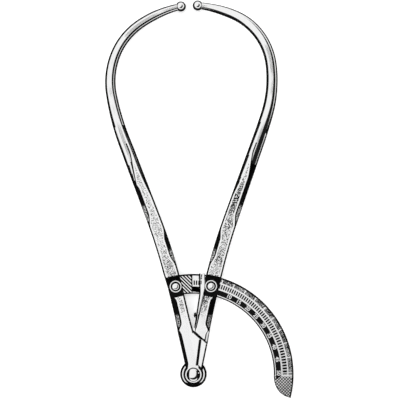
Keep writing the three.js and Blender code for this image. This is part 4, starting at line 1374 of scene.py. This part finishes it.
def numeral(reading):
    """One number of the scale, upright where the arc's outer edge is up."""
    words = bpy.data.curves.new("numeral", "FONT")
    words.body = str(reading)
    words.size = NUMERAL_SIZE
    words.align_x = "CENTER"
    words.align_y = "CENTER"
    words.extrude = ENGRAVING_DEPTH / 2
    words.offset = NUMERAL_WEIGHT
    thing = bpy.data.objects.new("numeral", words)
    bpy.context.scene.collection.objects.link(thing)
    depsgraph = bpy.context.evaluated_depsgraph_get()
    mesh = bpy.data.meshes.new_from_object(thing.evaluated_get(depsgraph), depsgraph=depsgraph)
    bpy.data.objects.remove(thing)
    angle = reading_angle(reading)
    x, y = polar(sum(band_radii("numeral")) / 2, angle)
    turn = Matrix.Rotation((angle - RIGHT_ANGLE) * DEGREE, 4, "Z")
    mesh.transform(Matrix.Translation((x, y, ARC_FRONT - ENGRAVING_DEPTH / 2)) @ turn)
    return mesh


def numerals():
    """All numbers of the scale as one piece of raised metal in the sunk band."""
    joined = bmesh.new()
    for reading in range(SCALE_FIRST_NUMERAL, SCALE_TOP + 1, SCALE_STRIDE):
        joined.from_mesh(numeral(reading))
    thing = new_object("scale_numerals", [], [])
    for face in joined.faces:
        face.material_index = POLISHED
    joined.to_mesh(thing.data)
    joined.free()
    return thing


# Turned pieces

def domed_screw(name, radius, foot, head_base, head):
    head_radius, edge, height = head
    profile = [(0, foot), (radius, foot), (radius, head_base), (head_radius, head_base)]
    return turned([*profile, *dome(head_radius, height, head_base + edge)], name=name)


def pivot_screw():
    """The pivot's screw, with two hollows in its head for a two-pronged key, both finished with painted
    shade.
    """
    base = LEG_FRONT + SEAT_GAP
    radius, edge, _ = PIVOT_HEAD
    screw = domed_screw("pivot_dome_screw", PIVOT_RADIUS, 0, base, PIVOT_HEAD)
    low, high = base + edge + SEAT_GAP, base + OVERRUN
    keys = []
    for middle in (2 * RIGHT_ANGLE, 0):
        reach = (middle - KEY_HALF_ANGLE, middle + KEY_HALF_ANGLE)
        keys.append(crescent(radius - KEY_MARGIN, KEY_REACH, *reach, low, high))
    half = KEY_BRIDGE / 2
    bar = prism([(0, -half), (radius, -half), (radius, half), (0, half)], 0, 2 * high)
    moved(bar, Matrix.Rotation(KEY_BRIDGE_ANGLE * DEGREE, 4, "Z"))
    combine(keys[1], [("DIFFERENCE", [bar])])
    return combine(screw, [("DIFFERENCE", keys)])


def grooved_collar(profile, name):
    """A collar's profile with a sunk ring round the screw's head, finished with painted shade."""
    floor = COLLAR_TOP - COLLAR_GROOVE_DEPTH
    top = [
        (COLLAR_RADIUS, COLLAR_TOP - COLLAR_EDGE),
        (COLLAR_RADIUS - COLLAR_EDGE, COLLAR_TOP),
        (COLLAR_GROOVE_RADIUS, COLLAR_TOP),
        (COLLAR_GROOVE_RADIUS, floor),
        (SCREW_HOLE, floor),
    ]
    collar = turned([*profile, *top], name=name)
    for polygon in collar.data.polygons:
        reach = math.hypot(polygon.center.x, polygon.center.y)
        if reach < COLLAR_GROOVE_RADIUS and polygon.center.z > floor - WELD:
            polygon.material_index = HOLLOW
    return collar


def ring(name, inner, outer, low, high, edge):
    profile = [(inner, low), (outer, low), (outer, high - edge), (outer - edge, high), (inner, high)]
    return turned(profile, name=name)


def ball(name):
    start = math.acos(-BALL_FLAT / BALL_RADIUS)
    steps = 3 * DOME_STEPS
    angles = [start * (1 - i / steps) for i in range(steps)]
    surface = [(BALL_RADIUS * math.sin(a), BALL_RADIUS * math.cos(a)) for a in angles]
    foot = -BALL_FLAT - SPIGOT_LENGTH
    spigot = [(0, foot), (SPIGOT_RADIUS, foot), (SPIGOT_RADIUS, -BALL_FLAT)]
    return turned([*spigot, *surface, (0, BALL_RADIUS)], name=name)


def clamp_bush():
    ceiling = MORTISE_FRONT + PAD_THICKNESS + CLAMP_TRAVEL + SEAT_GAP
    return grooved_collar([
        (SCREW_HOLE, ceiling),
        (PAD_RADIUS + CLEARANCE, ceiling),
        (PAD_RADIUS + CLEARANCE, MORTISE_FRONT + SEAT_GAP),
        (BUSH_SPIGOT_RADIUS, MORTISE_FRONT + SEAT_GAP),
        (BUSH_SPIGOT_RADIUS, COLLAR_BASE),
        (COLLAR_RADIUS, COLLAR_BASE),
    ], "threaded_bush")


def anchor_pieces():
    ring_profile = [(SCREW_HOLE, COLLAR_BASE), (COLLAR_RADIUS, COLLAR_BASE)]
    pieces = {
        "screw": domed_screw("anchor_dome_screw", SCREW_RADIUS, 0, COLLAR_TOP + SEAT_GAP, SCREW_HEAD),
        "collar": grooved_collar(ring_profile, "anchor_ring"),
        "nut": ring("anchor_round_nut", SCREW_HOLE, ANCHOR_NUT_RADIUS, 0, LEG_BACK - SEAT_GAP, SEAT_GAP),
    }
    return {f"arc_anchor_{part}": at_screw(piece, -ANCHOR_REACH) for part, piece in pieces.items()}


def clamp_pieces():
    pad_top = MORTISE_FRONT + PAD_THICKNESS
    foot, base = pad_top + SEAT_GAP, COLLAR_TOP + CLEARANCE
    pieces = {
        "screw": domed_screw("clamp_dome_screw", SCREW_RADIUS, foot, base, SCREW_HEAD),
        "bush": clamp_bush(),
        "pad": disc(PAD_RADIUS, MORTISE_FRONT, pad_top, name="brake_pad"),
    }
    return {f"clamp_{part}": at_screw(piece, CLAMP_REACH) for part, piece in pieces.items()}


def pivot_pieces():
    seat = LEG_BACK + WASHER_RECESS - SEAT_GAP
    foot = seat - WASHER_THICKNESS
    hole = PIVOT_RADIUS + CLEARANCE
    return {
        "pivot_screw": pivot_screw(),
        "pivot_spring_washer": ring("dished_washer", hole, WASHER_RADIUS, foot, seat, WASHER_EDGE),
        "pivot_nut": ring("pivot_round_nut", hole, PIVOT_NUT_RADIUS, 0, foot - SEAT_GAP, SEAT_GAP),
    }


def turned_pieces():
    """Each turned piece with the node that it stands for."""
    return {
        "left_ball_tip": moved(ball("left_ball"), tip_frame(runs_of(LEFT_BOW), -1)),
        "right_ball_tip": moved(ball("right_ball"), tip_frame(runs_of(RIGHT_BOW), 1)),
        **pivot_pieces(),
        **anchor_pieces(),
        **clamp_pieces(),
        "index_leaf_screw": leaf_screw(),
    }


# Finished pieces

def smoothing_group():
    group = bpy.data.node_groups.new("smooth_faces", "GeometryNodeTree")
    group.interface.new_socket("Geometry", in_out="INPUT", socket_type="NodeSocketGeometry")
    group.interface.new_socket("Geometry", in_out="OUTPUT", socket_type="NodeSocketGeometry")
    nodes = Nodes(group)
    start = nodes.add("NodeGroupInput")
    weld = nodes.add("GeometryNodeMergeByDistance", Geometry=start.outputs[0], Distance=WELD * MM)
    smooth = nodes.add("GeometryNodeSetShadeSmooth", Geometry=weld.outputs[0], Shade_Smooth=True)
    edge = nodes.add("GeometryNodeInputMeshEdgeAngle").outputs["Unsigned Angle"]
    flat = nodes.math("GREATER_THAN", edge, SMOOTH_ANGLE * DEGREE)
    sharp = nodes.add("GeometryNodeSetShadeSmooth", {"domain": "EDGE"}, Geometry=smooth.outputs[0])
    nodes.feed(sharp, "Selection", flat)
    sharp.inputs["Shade Smooth"].default_value = False
    end = nodes.add("NodeGroupOutput")
    group.links.new(sharp.outputs[0], end.inputs[0])
    return group


def finish_piece(thing, body, slot, node, group):
    thing.data.transform(Matrix.Scale(MM, 4))
    modifier = thing.modifiers.new("smooth", "NODES")
    modifier.node_group = group
    weighted = thing.modifiers.new("weighted", "WEIGHTED_NORMAL")
    weighted.keep_sharp = True
    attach(thing, body)
    if node:
        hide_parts(node)


def wear(thing, materials):
    """Gives a piece its own list of finishes, in the order of their places."""
    for place, material in enumerate(materials):
        thing.data.materials[place] = material


def body_of(node):
    bodies = frame["record"]["behaviour"]["bodies"]
    return next(name for name, members in bodies.items() if node in members)


def slot_of(node):
    subparts = frame["record"]["subparts"]
    return next(part["material_slot"] for part in subparts if part["node"] == node)


bpy.context.scene.view_settings.view_transform = "Standard"
make_camera()
make_world()
make_floor()
# The dark finishes and the bevels are painted shade
FINISHES = {
    POLISHED: polished_nickel("polished_nickel"),
    SATIN: satin_front("stippled_nickel"),
    EDGE: dark_metal("painted_shade_edges", EDGE_SHADE),
    BEVEL: bevel_shade("shaded_bevels"),
    HOLLOW: dark_metal("painted_shade_hollow", HOLLOW_SHADE),
    ROD: rod_nickel("rod_nickel"),
}

group = smoothing_group()
pieces = turned_pieces()
pieces["left_arm"] = left_arm()
pieces["right_arm"] = right_arm()
pieces["index_leaf"] = index_leaf()
pieces["scale_arc"] = scale_arc()
figures = numerals()
wear(pieces["scale_arc"], [
    FINISHES[POLISHED],
    scale_steel("scale_steel"),
    FINISHES[EDGE],
    satin_band("stippled_band"),
    black_enamel("enamel"),
])
for name in ("left_ball_tip", "right_ball_tip"):
    wear(pieces[name], [polished_nickel("ball_nickel", rim=BALL_RIM)])
# The leaf's screw is all painted shade, finished black
wear(pieces["index_leaf_screw"], [FINISHES[EDGE]])
plain = polished_nickel("plain_steel", PLAIN_STEEL, PLAIN_POLISH)
for name in ("pivot_nut", "pivot_spring_washer", "arc_anchor_nut", "clamp_pad"):
    wear(pieces[name], [plain])
for name, thing in pieces.items():
    finish_piece(thing, body_of(name), slot_of(name), name, group)
finish_piece(figures, "left_side", "scale_steel", None, group)
